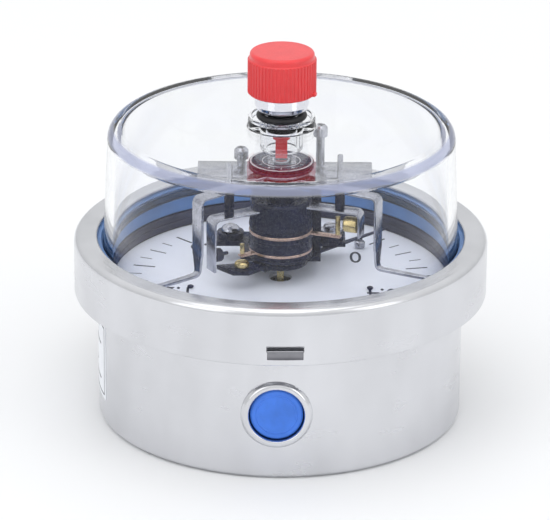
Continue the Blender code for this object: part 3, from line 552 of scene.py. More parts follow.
def shaped(piece: bpy.types.Object, joined: Iterable[bpy.types.Object] = (),
           removed: Iterable[bpy.types.Object] = ()) -> bpy.types.Object:
    """Cut helper shapes out of a piece, then join others to it.

    Args:
        piece: the piece that is shaped.
        joined: shapes that become part of it.
        removed: shapes that are taken away.

    Returns:
        The same piece, with a new mesh.
    """
    joined, removed = list(joined), list(removed)
    for operation, tools in (("DIFFERENCE", removed), ("UNION", joined)):
        for tool in tools:
            modifier = piece.modifiers.new(operation.lower(), "BOOLEAN")
            modifier.operation = operation
            modifier.object = tool
    solid_result(piece)
    for tool in joined + removed:
        bpy.data.objects.remove(tool)
    return piece


def refined(node: str, edge: float = 0.12, name: str | None = None) -> bpy.types.Object:
    """A smooth copy of a CAD node, its triangles merged and its edges broken.

    Args:
        node: the CAD node.
        edge: width of the broken edges, in millimetres.
        name: the piece's name, if it isn't the node's with an ending.

    Returns:
        The new object.
    """
    label = name or f"{node}_finished"
    bm = bmesh.new()
    bm.from_mesh(frame["nodes"][node].data)
    bmesh.ops.remove_doubles(bm, verts=bm.verts, dist=1e-3 * MM)
    bmesh.ops.dissolve_limit(bm, angle_limit=math.radians(1.0), verts=bm.verts, edges=bm.edges)
    mesh = bpy.data.meshes.new(label)
    bm.to_mesh(mesh)
    bm.free()
    piece = shown(label, mesh)
    bevel = piece.modifiers.new("edge", "BEVEL")
    bevel.width = edge * MM
    bevel.segments = 2
    bevel.limit_method = "ANGLE"
    bevel.angle_limit = math.radians(35.0)
    return solid_result(piece)


def merged(name: str, pieces: Sequence[bpy.types.Object]) -> bpy.types.Object:
    """Several pieces of one finish and body as one piece."""
    bm = bmesh.new()
    for piece in pieces:
        bm.from_mesh(piece.data)
        bpy.data.objects.remove(piece)
    mesh = bpy.data.meshes.new(name)
    bm.to_mesh(mesh)
    bm.free()
    return shown(name, mesh)


# Geometry Nodes ----------------------------------------------------------------------------


class Recipe:
    """A Geometry Nodes tree with named inputs, and the plain meshes made from it."""

    def __init__(self, name: str, inputs: Mapping[str, str]) -> None:
        """Start a tree.

        Args:
            name: the tree's name.
            inputs: each input's name and its kind of socket.
        """
        self.tree = bpy.data.node_groups.new(name, "GeometryNodeTree")
        face = self.tree.interface
        face.new_socket("Geometry", in_out="OUTPUT", socket_type="NodeSocketGeometry")
        kinds = {**inputs, "Finish": "NodeSocketMaterial"}
        self.identifiers = {
            label: face.new_socket(label, in_out="INPUT", socket_type=kind).identifier
            for label, kind in kinds.items()}
        self.given = self.tree.nodes.new("NodeGroupInput").outputs

    def put(self, kind: str, inputs: Mapping[str | int, Any], output: str | int = 0,
            **settings: Any) -> Any:
        """Add a node.

        Args:
            kind: the node's type.
            inputs: a value or a socket for each of its inputs.
            output: which output is returned.
            settings: the node's own options.

        Returns:
            The output socket.
        """
        node = self.tree.nodes.new(kind)
        for label, value in settings.items():
            setattr(node, label, value)
        for label, value in inputs.items():
            if isinstance(value, bpy.types.NodeSocket):
                self.tree.links.new(value, node.inputs[label])
            else:
                node.inputs[label].default_value = value
        return node.outputs[output]

    def reckon(self, operation: str, first: Any, second: Any = 0.0) -> Any:
        """The result of one sum."""
        return self.put("ShaderNodeMath", {0: first, 1: second}, operation=operation)

    def triple(self, x: Any, y: Any, z: Any) -> Any:
        """A vector from three values."""
        return self.put("ShaderNodeCombineXYZ", {0: x, 1: y, 2: z})

    def end(self, geometry: Any) -> None:
        """Close the tree: place the geometry, make instances real and give the finish."""
        moved = self.put("GeometryNodeTransform", {
            "Geometry": geometry, "Translation": self.given["Place"],
            "Rotation": self.given["Turn"]})
        real = self.put("GeometryNodeRealizeInstances", {0: moved})
        done = self.put("GeometryNodeSetMaterial", {
            "Geometry": real, "Material": self.given["Finish"]})
        sink = self.tree.nodes.new("NodeGroupOutput")
        self.tree.links.new(done, sink.inputs[0])

    def made(self, name: str, finish: Finish, **values: Any) -> bpy.types.Object:
        """Run the tree and keep its result as a plain mesh.

        Args:
            name: the piece's name.
            finish: its finish.
            values: the tree's inputs by name, with _ for a space, lengths in metres.

        Returns:
            The new object.
        """
        piece = bpy.data.objects.new(name, bpy.data.meshes.new(name))
        bpy.context.scene.collection.objects.link(piece)
        modifier = piece.modifiers.new(name, "NODES")
        modifier.node_group = self.tree
        modifier[self.identifiers["Finish"]] = material_of(finish)
        for label, value in values.items():
            modifier[self.identifiers[label.replace("_", " ")]] = value
        return solid_result(piece)


PLACED = {"Place": "NodeSocketVector", "Turn": "NodeSocketVector"}


@lru_cache(maxsize=None)
def circle_recipe() -> Recipe:
    """Blocks or rods repeated round an arc, each pointing away from its centre.

    Returns:
        The recipe, whose shape is a block, or a rod where Sides is above four.
    """
    recipe = Recipe("repeated_round_an_arc", {
        "Count": "NodeSocketInt", "Radius": "NodeSocketFloat", "First": "NodeSocketFloat",
        "Step": "NodeSocketFloat", "Length": "NodeSocketFloat", "Width": "NodeSocketFloat",
        "Height": "NodeSocketFloat", "Sides": "NodeSocketInt", **PLACED})
    given = recipe.given
    index = recipe.put("GeometryNodeInputIndex", {})
    angle = recipe.reckon("ADD", given["First"], recipe.reckon("MULTIPLY", index, given["Step"]))
    across = recipe.reckon("MULTIPLY", given["Radius"], recipe.reckon("COSINE", angle))
    along = recipe.reckon("MULTIPLY", given["Radius"], recipe.reckon("SINE", angle))
    points = recipe.put("GeometryNodePoints", {
        "Count": given["Count"], "Position": recipe.triple(across, along, 0.0)})
    flat = recipe.put("GeometryNodeMeshCube", {
        "Size": recipe.triple(given["Length"], given["Width"], given["Height"])})
    rod = recipe.put("GeometryNodeMeshCylinder", {
        "Vertices": given["Sides"], "Radius": recipe.reckon("MULTIPLY", given["Width"], 0.5),
        "Depth": given["Height"]})
    is_rod = recipe.put("FunctionNodeCompare", {"A": given["Sides"], "B": 4},
                        data_type="INT", operation="GREATER_THAN")
    shape = recipe.put("GeometryNodeSwitch", {"Switch": is_rod, "False": flat, "True": rod},
                       input_type="GEOMETRY")
    copies = recipe.put("GeometryNodeInstanceOnPoints", {
        "Points": points, "Instance": shape, "Rotation": recipe.triple(0.0, 0.0, angle)})
    recipe.end(copies)
    return recipe


@lru_cache(maxsize=None)
def coil_recipe() -> Recipe:
    """A round wire wound in a spiral, flat or rising.

    Returns:
        The recipe.
    """
    recipe = Recipe("wound_wire", {
        "Turns": "NodeSocketFloat", "Start": "NodeSocketFloat", "End": "NodeSocketFloat",
        "Rise": "NodeSocketFloat", "Wire": "NodeSocketFloat", **PLACED})
    given = recipe.given
    path = recipe.put("GeometryNodeCurveSpiral", {
        "Resolution": 36, "Rotations": given["Turns"], "Start Radius": given["Start"],
        "End Radius": given["End"], "Height": given["Rise"]})
    section = recipe.put("GeometryNodeCurvePrimitiveCircle", {
        "Resolution": 10, "Radius": given["Wire"]})
    wire = recipe.put("GeometryNodeCurveToMesh", {
        "Curve": path, "Profile Curve": section, "Fill Caps": True})
    recipe.end(wire)
    return recipe


def repeated(name: str, finish: Finish, count: int, radius: float, first: float, step: float,
             size: Place, level: float, sides: int = 4,
             turn: Place = (0.0, 0.0, 0.0), place: Place | None = None) -> bpy.types.Object:
    """Blocks or rods round an arc, with angles in degrees and lengths in millimetres.

    Args:
        name: the piece's name.
        finish: its finish.
        count: how many there are.
        radius: distance of their middles from the axis.
        first: angle of the first one.
        step: angle from one to the next.
        size: their length outwards, width along the arc and height.
        level: height of their middles.
        sides: four for blocks, more for rods with that many sides.
        turn: how the whole ring is turned, as XYZ angles in radians.
        place: where its centre is, if that isn't on the Z axis at the level.

    Returns:
        The new object.
    """
    length, width, height = (part * MM for part in size)
    return circle_recipe().made(
        name, finish, Count=count, Radius=radius * MM, First=math.radians(first),
        Step=math.radians(step), Length=length, Width=width, Height=height, Sides=sides,
        Place=[part * MM for part in (place or (0.0, 0.0, level))], Turn=list(turn))


def wound(name: str, finish: Finish, turns: float, radii: tuple[float, float], rise: float,
          wire: float, place: Place, turn: Place = (0.0, 0.0, 0.0)) -> bpy.types.Object:
    """A wound wire, with lengths in millimetres.

    Args:
        name: the piece's name.
        finish: its finish.
        turns: how many turns it has.
        radii: radius at its first and last turn.
        rise: how far it climbs along its axis.
        wire: radius of the wire.
        place: where its axis starts.
        turn: how it is turned, as XYZ angles in radians.

    Returns:
        The new object.
    """
    start, end = radii
    return coil_recipe().made(
        name, finish, Turns=turns, Start=start * MM, End=end * MM, Rise=rise * MM,
        Wire=wire * MM, Place=[part * MM for part in place], Turn=list(turn))


# Sub-assemblies ----------------------------------------------------------------------------


class Assembly:
    """What every sub-assembly does with a finished mesh."""

    def dress(self, piece: bpy.types.Object, finish: Finish | ClearFinish, *nodes: str,
              body: str | None = None) -> bpy.types.Object:
        """Give a piece its finish and body, and hide the CAD nodes that it stands for.

        Args:
            piece: the piece.
            finish: its finish.
            nodes: the CAD nodes that it replaces.
            body: the body it rides on, if it replaces no node.

        Returns:
            The same piece.
        """
        piece.data.materials.clear()
        piece.data.materials.append(material_of(finish))
        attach(piece, body or BODY_OF[nodes[0]])
        if nodes:
            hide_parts(*nodes)
        LOG.info("%s: %d faces, %s", piece.name, len(piece.data.polygons), finish.name)
        return piece

    def refine(self, finish: Finish, *nodes: str, edge: float = 0.12) -> None:
        """Replace CAD nodes by smooth copies of themselves in one finish."""
        for node in nodes:
            self.dress(refined(node, edge), finish, node)


class Drive(Enum):
    """What a screw's head is turned by."""

    SLOT = "slot"
    CROSS = "cross"
    NONE = "none"


@dataclass
class Screw:
    """A screw head with its washer faces, standing along Z."""

    node: str
    finish: Finish
    drive: Drive
    outline: Sequence[Corner]
    slot_width: float = 0.7
    slot_depth: float = 0.9
    turned_by: float = 20.0
    slot_reach: float = 1.1
    cross_reach: float = 0.605

    def build(self) -> bpy.types.Object:
        """Turn the head about the node's own axis and cut its drive.

        Returns:
            The new object.
        """
        low, high = span(self.node)
        middle = Matrix.Translation(((low[0] + high[0]) / 2, (low[1] + high[1]) / 2, low[2]))
        piece = turned(f"{self.node}_finished", self.outline, SMALL_SEGMENTS, middle)
        top = max(corner[1] for corner in self.outline)
        radius = max(corner[0] for corner in self.outline)
        angles = {Drive.SLOT: (0,), Drive.CROSS: (0, 90), Drive.NONE: ()}[self.drive]
        half = radius * (self.cross_reach if self.drive is Drive.CROSS else self.slot_reach)
        cutters = [
            block(f"drive_{angle}", (-half, -self.slot_width / 2, top - self.slot_depth),
                  (half, self.slot_width / 2, top + 1), 0.0,
                  middle @ Matrix.Rotation(math.radians(angle + self.turned_by), 4, "Z"))
            for angle in angles]
        return shaped(piece, removed=cutters) if cutters else piece


@dataclass
class CaseAssembly(Assembly):
    """Deep-drawn case with its rim, vent collar, connection and cable entry."""

    sheet: float = 1.0
    rim_sheet: float = 2.6
    rim_width: float = 4.6
    port_height: float = 18.9
    vent_radius: float = 7.4
    vent_offset: float = -0.7
    collar_width: float = 2.2
    collar_proud: float = 1.2
    stem_neck: float = 9.2
    gland_angle: float = 125.0
    gland_neck: float = 5.9
    notch_width: float = 11.2
    notch_angles: tuple[float, ...] = (-60.5, 59.5, 179.5)
    thread_core: float = 10.0
    thread_turns: float = 10.5
    thread_wire: float = 0.8
    thread_length: float = 18.6
    thread_start: float = 19.4
    hole_depth: float = 8.0
    hole_past: float = 3.0
    nut_levels: tuple[float, float, float] = (9.3, 14.0, 16.5)
    nut_radius: float = 8.0
    nut_mouth: float = 4.0
    nut_tip: float = 6.6
    nut_ribs: int = 24
    rib_length: float = 4.4
    rib_middle: float = 11.8
    rule_inset: float = 1.3
    rule_width: float = 0.35
    rule_rows: int = 5
    rule_pitch: float = 3.4
    sticker_angles: tuple[float, float] = (-205.0, -162.0)
    sticker_levels: tuple[float, float] = (7.6, 29.6)
    radius: float = field(init=False)
    top: float = field(init=False)

    def __post_init__(self) -> None:
        """Read the case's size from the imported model."""
        self.radius = reach("case_shell") - self.rim_width
        self.top = levels("case_shell")[1]

    def shell(self) -> bpy.types.Object:
        """The cup with three holes and the rim's notches.

        Returns:
            The new object.
        """
        wall, top, inner = self.radius, self.top, self.radius - self.sheet
        cup = turned("case_cup", [
            (0, 0), (wall - 1.2, 0, 1.2), (wall, 1.2, 1.2), (wall, top - self.rim_sheet, 0.4),
            (wall + self.rim_width, top - self.rim_sheet, 0.4),
            (wall + self.rim_width, top, 0.4), (inner, top, 0.8), (inner, 1.2, 1.5), (0, 1.2)])
        deep, past = wall - self.hole_depth, wall + self.hole_past
        holes = [
            turned(name, [(0, deep), (width, deep), (width, past), (0, past)], SMALL_SEGMENTS,
                   laid(angle, self.port_height, sideways))
            for name, width, angle, sideways in (
                ("vent_hole", self.vent_radius + 1, -90, self.vent_offset),
                ("stem_hole", self.stem_neck + 0.6, 90, 0.0),
                ("gland_hole", self.gland_neck + 0.4, self.gland_angle, 0.0))]
        holes += [
            block(f"notch_{number}", (wall + 2.3, -self.notch_width / 2, top - 3),
                  (wall + self.rim_width + 1, self.notch_width / 2, top + 1), 0.0,
                  Matrix.Rotation(math.radians(angle), 4, "Z"))
            for number, angle in enumerate(self.notch_angles)]
        return shaped(cup, removed=holes)

    def collar(self) -> bpy.types.Object:
        """The raised edge round the vent, flowing out of the wall.

        Returns:
            The new object.
        """
        inner, outer = self.vent_radius, self.vent_radius + self.collar_width
        face = self.radius + self.collar_proud
        return turned("vent_collar", [
            (inner, self.radius - 2.6), (outer - 1.2, self.radius - 2.6),
            (outer - 0.9, face - 2.2, 0.6), (outer + 0.3, face - 1.5, 1.0),
            (outer - 0.9, face, 1.2), (inner + 0.2, face, 0.5), (inner, face - 0.7, 0.3)],
            NARROW_SEGMENTS, laid(-90, self.port_height, self.vent_offset))

    def stem(self) -> None:
        """The pressure connection: thread, square, neck and the block inside."""
        core = refined("pressure_stem", 0.3)
        self.dress(core, TURNED_STEEL, "pressure_stem")
        end = span("pressure_stem")[1][1]
        ridge = wound("stem_thread", TURNED_STEEL, self.thread_turns,
                      (self.thread_core, self.thread_core), self.thread_length,
                      self.thread_wire,
                      (0, end - self.thread_start, self.port_height), (-math.pi / 2, 0, 0))
        self.dress(ridge, TURNED_STEEL, body="case")
        self.refine(BLACK_RUBBER, "stem_seal", edge=0.3)

    def gland(self) -> None:
        """The cable entry: hexagon, ribbed nut and its seals."""
        self.refine(BLACK_MOULDING, "gland_body", edge=0.35)
        self.refine(BLACK_RUBBER, "gland_seal", edge=0.2)
        wall = self.radius
        low, shoulder, high = (wall + level for level in self.nut_levels)
        nut = turned("gland_nut_finished", [
            (self.nut_mouth, low, 0.3), (self.nut_radius, low, 0.4),
            (self.nut_radius, shoulder, 1.0), (self.nut_tip, high, 0.6),
            (self.nut_mouth, high, 0.5)], SMALL_SEGMENTS,
            laid(self.gland_angle, self.port_height))
        self.dress(nut, BLACK_MOULDING, "gland_nut")
        away = math.radians(self.gland_angle)
        middle = wall + self.rib_middle
        ribs = repeated("gland_nut_ribs", BLACK_MOULDING, self.nut_ribs,
                        self.nut_radius - 0.05, 0, 360 / self.nut_ribs,
                        (0.9, 0.9, self.rib_length), 0, 8, (0, math.pi / 2, away),
                        (middle * math.cos(away), middle * math.sin(away), self.port_height))
        self.dress(ribs, BLACK_MOULDING, body="case")

    def sticker(self) -> None:
        """The plain paper label on the wall, with a ruled border and blank rules."""
        first, last = self.sticker_angles
        low, high = self.sticker_levels

        def patch(name: str, angles: tuple[float, float], heights: tuple[float, float],
                  thick: float) -> bpy.types.Object:
            """A thin curved sheet on the wall between two angles and two heights."""
            steps = max(2, int((angles[1] - angles[0]) / 1.5))
            bm = bmesh.new()
            rows = []
            for step in range(steps + 1):
                turn = math.radians(angles[0] + (angles[1] - angles[0]) * step / steps)
                rows.append([bm.verts.new((r * math.cos(turn), r * math.sin(turn), z))
                             for r, z in ((self.radius - 0.1, heights[0]),
                                          (self.radius + thick, heights[0]),
                                          (self.radius + thick, heights[1]),
                                          (self.radius - 0.1, heights[1]))])
            for one, two in zip(rows, rows[1:]):
                for i in range(4):
                    bm.faces.new((one[i], one[i - 1], two[i - 1], two[i]))
            bm.faces.new(rows[0])
            bm.faces.new(rows[-1])
            return shown(name, meshed(name, bm))

        self.dress(patch("sticker", (first, last), (low, high), 0.1), PAPER, body="case")
        edge, line = self.rule_inset, self.rule_width
        rules = [
            patch("rule_low", (first + edge, last - edge), (low + 1, low + 1 + line), 0.13),
            patch("rule_high", (first + edge, last - edge), (high - 1 - line, high - 1), 0.13),
            patch("rule_left", (first + edge, first + edge + line), (low + 1, high - 1), 0.13),
            patch("rule_right", (last - edge - line, last - edge), (low + 1, high - 1), 0.13)]
        rules += [
            patch(f"rule_{row}", (first + 5, last - 6 - 7 * (row % 3)),
                  (low + 4.5 + self.rule_pitch * row, low + 4.9 + self.rule_pitch * row), 0.13)
            for row in range(self.rule_rows)]
        self.dress(merged("sticker_rules", rules), INK, body="case")

    def build(self) -> None:
        """Make and dress every piece of the case."""
        self.dress(self.shell(), DRAWN_STEEL, "case_shell")
        self.dress(self.collar(), DRAWN_STEEL, body="case")
        self.stem()
        self.gland()
        self.sticker()


@dataclass
class BezelAssembly(Assembly):
    """Bayonet ring with its rolled lip, three slots and the lugs pressed in under them."""

    sheet: float = 0.9
    shoulder: float = 3.2
    lip_radius: float = 50.1
    lug_width: float = 9.6
    lug_angles: tuple[float, ...] = (-88.5, 31.5, 151.5)
    slot_low: float = 39.6
    slot_high: float = 41.3
    lug_height: float = 2.2
    lug_depth: float = 3.9
    lip_width: float = 3.4

    def build(self) -> None:
        """Make and dress the bezel."""
        outer = reach("bezel_ring")
        low, high = levels("bezel_ring")
        inner = outer - self.sheet
        ring = turned("bezel_finished", [
            (inner, low, 0.2), (outer, low, 0.35), (outer, high - 0.2, self.shoulder),
            (outer - self.lip_width, high, 1.2), (self.lip_radius + 0.2, high, 0.7),
            (self.lip_radius, high - 1.3, 0.4), (inner - 2.0, high - 1.3, 0.8),
            (inner, high - 3.2, 1.0)], WIDE_SEGMENTS)
        depth = outer - self.lug_depth
        turns = [Matrix.Rotation(math.radians(angle), 4, "Z") for angle in self.lug_angles]
        half = self.lug_width / 2
        slots = [
            block(f"slot_{i}", (depth - 1, -half - 0.2, self.slot_low),
                  (outer + 1, half + 0.2, self.slot_high), 0.0, turn)
            for i, turn in enumerate(turns)]
        slots += [
            block(f"dent_{i}", (inner, -half, self.slot_low - self.lug_height),
                  (outer + 1, half, self.slot_low + 0.5), 0.0, turn)
            for i, turn in enumerate(turns)]
        lugs = [
            block(f"lug_{i}", (depth, -half - 0.2, self.slot_low - self.lug_height - 0.3),
                  (inner + 0.05, half + 0.2, self.slot_low - 0.05), 0.2, turn)
            for i, turn in enumerate(turns)]
        self.dress(shaped(ring, removed=slots), DRAWN_STEEL, "bezel_ring")
        # The lugs get the darker steel: painted shade under the slots.
        self.dress(merged("bezel_lugs", lugs), SHADED_LUG_STEEL, body="bezel")


@dataclass
class WindowAssembly(Assembly):
    """Deep clear window with the gasket and spacer that seat it."""

    wall: float = 2.5
    plate: float = 1.6
    lean: float = 1.4
    flange_sheet: float = 1.6
    boss_height: float = 2.9
    boss_radius: float = 9.2
    boss_bore: float = 4.3
    recess: float = 8.0
    guide_length: float = 6.1
    guide_wall: float = 1.5
    corner: float = 3.4
    flange_width: float = 5.3
    gasket_width: float = 7.9
    gasket_lip: float = 6.1
    spacer_sheet: float = 1.8

    def window(self) -> bpy.types.Object:
        """The window as one clear moulding.

        Returns:
            The new object.
        """
        flange = reach("window")
        low, high = levels("window")
        top = high - self.boss_height
        outer = flange - self.flange_width
        upper = outer - self.lean
        ceiling = top - self.plate
        return turned("window_finished", [
            (outer - self.wall, low, 0.3), (flange, low, 0.3), (flange, low + 1.6, 0.3),
            (outer, low + self.flange_sheet, 0.5), (upper, top, self.corner),
            (self.boss_radius, top, 0.5), (self.boss_radius, high, 0.6),
            (self.recess, high, 0.5), (self.recess, top + 1.6, 0.2),
            (self.boss_bore, top + 1.6, 0.2), (self.boss_bore, ceiling - self.guide_length, 0.2),
            (self.boss_bore + self.guide_wall, ceiling - self.guide_length, 0.4),
            (self.boss_bore + self.guide_wall, ceiling, 0.6),
            (upper - self.wall - 0.1, ceiling, 2.4)], WIDE_SEGMENTS)

    def build(self) -> None:
        """Make and dress window, gasket and spacer."""
        self.dress(self.window(), CLEAR, "window")
        outer = reach("gasket")
        low, high = levels("gasket")
        foot = levels("window")[0] - GAP
        inner = outer - self.gasket_width
        seal = turned("gasket_finished", [
            (inner, low, 0.4), (outer, low, 0.4), (outer, high, 0.4),
            (outer - self.gasket_lip, high, 0.3), (outer - self.gasket_lip, high - 0.6, 0.2),
            (outer - 1.0, high - 0.6, 0.2), (outer - 1.0, foot, 0.2), (inner, foot, 0.5)])
        self.dress(seal, GASKET_RUBBER, "gasket")
        outer = reach("spacer_ring")
        low, high = levels("spacer_ring")
        inner, groove = outer - self.spacer_sheet, (low + high) / 2
        spacer = turned("spacer_finished", [
            (inner, low, 0.2), (outer, low, 0.2), (outer, high, 0.2), (inner, high, 0.5),
            (inner, groove + 0.3, 0.1), (inner + 0.2, groove, 0.1), (inner, groove - 0.3, 0.1)])
        self.dress(spacer, DARK_ENAMEL, "spacer_ring")


@dataclass
class VentAssembly(Assembly):
    """Rubber blow-out plug with a dished face and a thin moulded ring."""

    axis_height: float = 18.9
    offset: float = -0.7
    ring_radius: float = 5.4

    def build(self) -> None:
        """Make and dress the plug."""
        low, high = span("vent_plug")
        radius, face = (high[0] - low[0]) / 2, -low[1]
        ring = self.ring_radius
        plug = turned("vent_plug_finished", [
            (0, face - 0.35), (ring - 0.3, face - 0.3, 0.3), (ring, face - 0.12, 0.15),
            (ring + 0.3, face - 0.3, 0.2), (radius - 0.5, face - 0.1, 0.4),
            (radius, face - 0.6, 0.3), (radius, face - 3.4, 0.4), (0, face - 3.4)],
            NARROW_SEGMENTS, laid(-90, self.axis_height, self.offset))
        self.dress(plug, BLUE_RUBBER, "vent_plug")


class TickKind(Enum):
    """The three lengths of mark on the scale, as inner radius and width."""

    MAJOR = (35.5, 0.55)
    MIDDLE = (36.5, 0.42)
    MINOR = (38.3, 0.3)


@dataclass
class DialAssembly(Assembly):
    """White dial with its printed scale, screws, stop pin and needle."""

    scale_start: float = 45.0
    scale_turn: float = 270.0
    divisions: int = 32
    tick_end: float = 41.8
    print_height: float = 0.05
    numerals: tuple[str, ...] = ("0", "0.4", "0.8", "1.2", "1.6")
    first_numeral: tuple[float, float] = (26.2, 37.0)
    numeral_radius: float = 30.0
    numeral_size: float = 11.6
    numeral_squeeze: float = 0.62

    def ticks(self, kind: TickKind, first: int, every: int, count: int) -> bpy.types.Object:
        """One length of mark, repeated round the scale.

        Args:
            kind: which mark.
            first: the division it starts at.
            every: divisions from one to the next.
            count: how many there are.

        Returns:
            The new object.
        """
        inner, width = kind.value
        step = -self.scale_turn / self.divisions
        return repeated(
            f"scale_marks_{kind.name.lower()}_{first}", INK, count,
            (inner + self.tick_end) / 2, self.scale_start + step * first, step * every,
            (self.tick_end - inner, width, self.print_height),
            levels("dial")[1] + self.print_height / 2)

    def numeral(self, text: str, radius: float, angle: float) -> bpy.types.Object:
        """One printed number, upright for a reader who has twelve o'clock on top.

        Args:
            text: the number.
            radius: how far its middle is from the axis.
            angle: where it stands on the scale.

        Returns:
            The new object.
        """
        curve = bpy.data.curves.new(f"number_{text}", "FONT")
        curve.body = text
        curve.align_x = "CENTER"
        curve.align_y = "CENTER"
        curve.size = self.numeral_size
        curve.extrude = self.print_height / 2
        writer = bpy.data.objects.new("writer", curve)
        bpy.context.scene.collection.objects.link(writer)
        graph = bpy.context.evaluated_depsgraph_get()
        mesh = bpy.data.meshes.new_from_object(writer.evaluated_get(graph))
        bpy.data.objects.remove(writer)
        turn = math.radians(angle)
        level = levels("dial")[1] + self.print_height / 2
        mesh.transform(
            Matrix.Scale(MM, 4)
            @ Matrix.Translation((radius * math.cos(turn), radius * math.sin(turn), level))
            @ Matrix.Rotation(math.pi, 4, "Z")
            @ Matrix.Diagonal((self.numeral_squeeze, 1.0, 1.0, 1.0)))
        mesh.materials.clear()
        return shown(f"number_{text}", mesh)

    def build(self) -> None:
        """Make and dress the dial, its print, its hardware and the needle."""
        radius = reach("dial")
        low, high = levels("dial")
        disc = turned("dial_finished", [
            (3.1, low), (radius, low, 0.1), (radius, high, 0.2), (3.1, high, 0.1)])
        self.dress(disc, DIAL_ENAMEL, "dial")
        marks = [self.ticks(TickKind.MAJOR, 0, 4, 9), self.ticks(TickKind.MIDDLE, 2, 4, 8),
                 self.ticks(TickKind.MINOR, 1, 2, 16)]
        self.dress(merged("scale_marks", marks), INK, body="case")
        gap = self.scale_turn / (len(self.numerals) - 1)
        numbers = [self.numeral(self.numerals[0], *self.first_numeral)]
        numbers += [self.numeral(text, self.numeral_radius, self.scale_start - gap * (i + 1))
                    for i, text in enumerate(self.numerals[1:])]
        self.dress(merged("scale_numbers", numbers), INK, body="case")
        for side in ("left", "right"):
            node = f"dial_screw_{side}"
            head = Screw(node, PLATED, Drive.SLOT, [
                (0, 1.5), (0.5, 1.5, 0.1), (0.85, 1.3, 0.1), (0.85, 1.0), (0.6, 1.0),
                (0.6, 0), (0, 0)], 0.25, 0.3)
            self.dress(head.build(), DARK_ENAMEL, node)
        self.refine(PLATED, "stop_pin", edge=0.1)
        self.refine(DARK_ENAMEL, "needle", edge=0.1)


@dataclass
class ContactHead(Assembly):
    """Base, stack of drums, bridge and terminals between the dial and the window."""

    core: float = 4.0
    hub_gap: float = 2.8
    cap_sheet: float = 1.1
    screw_head: float = 3.2
    track_depth: float = 0.5
    neck_height: float = 1.8
    hub_depth: float = 3.6

    def drum(self, node: str, outline: Sequence[Corner]) -> None:
        """Turn one drum from an outline and dress it."""
        self.dress(turned(f"{node}_finished", outline, NARROW_SEGMENTS), BLACK_MOULDING, node)

    def drums(self) -> None:
        """The four black drums of the stack."""
        core = self.core
        low, high = levels("drum_lower")
        radius = reach("drum_lower")
        ring = high - self.track_depth
        self.drum("drum_lower", [
            (0, low), (radius - 1, low, 0.3), (radius, low + 0.6, 0.3),
            (radius, ring - 1.3, 0.3), (radius - 1.2, ring - 0.3, 0.2), (core, ring - 0.3),
            (core, high), (0, high)])
        low, high = levels("drum_middle")
        ring = high - self.track_depth
        self.drum("drum_middle", [
            (0, low), (radius - 1.4, low, 0.2), (radius - 0.1, low + 0.9, 0.4),
            (radius - 0.8, low + 1.9, 0.5), (radius, low + 2.6, 0.3),
            (radius, ring - 1.3, 0.3), (radius - 1.2, ring - 0.3, 0.2), (core, ring - 0.3),
            (core, high), (0, high)])
        low, high = levels("drum_upper")
        top = high - self.neck_height
        self.drum("drum_upper", [
            (0, low), (radius - 1.4, low, 0.2), (radius, low + 1, 0.4),
            (radius - 0.6, top - 1.6, 0.6), (radius - 2.4, top - 0.6, 0.6),
            (core + 0.4, top, 0.2), (core, top), (core, high), (0, high)])
        low, high = levels("drum_top")
        neck = levels("low_pointer_arm")[0] - GAP
        upper = high - self.cap_sheet
        self.drum("drum_top", [
            (0, low), (radius - 3, low, 0.3), (radius - 0.4, low + 1.4, 0.7),
            (radius - 0.1, neck, 0.3), (core - 0.4, neck), (core - 0.4, upper),
            (radius + 0.1, upper, 0.2), (radius + 0.1, high, 0.3), (self.hub_gap, high, 0.2),
            (self.hub_gap, high - self.hub_depth), (0, high - self.hub_depth)])

    def label(self) -> None:
        """The printed disc on top: blank rings and divisions round the key hub."""
        outer = reach("label_disc")
        low, high = levels("label_disc")
        disc = turned("label_disc_finished", [
            (self.hub_gap, low), (outer, low, 0.1), (outer, high, 0.15),
            (self.hub_gap, high, 0.1)], NARROW_SEGMENTS)
        self.dress(disc, BLACK_MOULDING, "label_disc")
        raised = high + 0.04
        rings = [turned(f"ring_{i}", [(inner, high - 0.02), (far, high - 0.02),
                                      (far, raised), (inner, raised)], NARROW_SEGMENTS)
                 for i, (inner, far) in enumerate(((8.15, 8.65), (5.05, 5.3)))]
        rings.append(repeated("divisions", PALE_PRINT, 5, 6.4, -150, 30, (1.0, 0.22, 0.04),
                              high + 0.02))
        self.dress(merged("label_print", rings), PALE_PRINT, body="case")

    def terminals(self) -> None:
        """The screws on the base and on the bridge."""
        dome = Screw("terminal_screw_left", PLATED, Drive.NONE, [
            (0, 1.8), (1.3, 1.6, 1.0), (2.4, 0.9, 1.0), (2.7, 0.0, 0.2), (0, 0)])
        washer = Screw("terminal_screw_right", PLATED, Drive.SLOT, [
            (0, 2), (1.6, 2, 0.3), (2.1, 1.6, 0.2), (2.1, 0.6), (3.1, 0.6, 0.15), (3.1, 0, 0.1),
            (0, 0)], 0.5, 0.8)
        clamp = Screw("base_screw", BRASS, Drive.SLOT, [
            (0, 1.5), (1.5, 1.5, 0.4), (2, 1, 0.3), (2, 0, 0.1), (0, 0)], 0.4, 0.6)
        tall = []
        for side in ("left", "right"):
            node = f"bridge_screw_{side}"
            low, high = levels(node)
            top = high - low
            neck = top - self.screw_head
            tall.append(Screw(node, PLATED, Drive.CROSS, [
                (0, top), (1.3, top, 0.3), (2, top - 0.7, 0.4), (2, neck, 0.2), (1.2, neck),
                (1.2, 0, 0.2), (0, 0)], 0.6, 1.0))
        for screw in (dome, washer, clamp, *tall):
            self.dress(screw.build(), screw.finish, screw.node)

    def build(self) -> None:
        """Make and dress the whole head apart from the set pointers."""
        self.refine(BLACK_MOULDING, "contact_base", edge=0.3)
        self.refine(PLATED, "base_pillar_left", "base_pillar_right", "key_hub", "bridge_plate",
                    edge=0.15)
        self.drums()
        self.label()
        self.terminals()


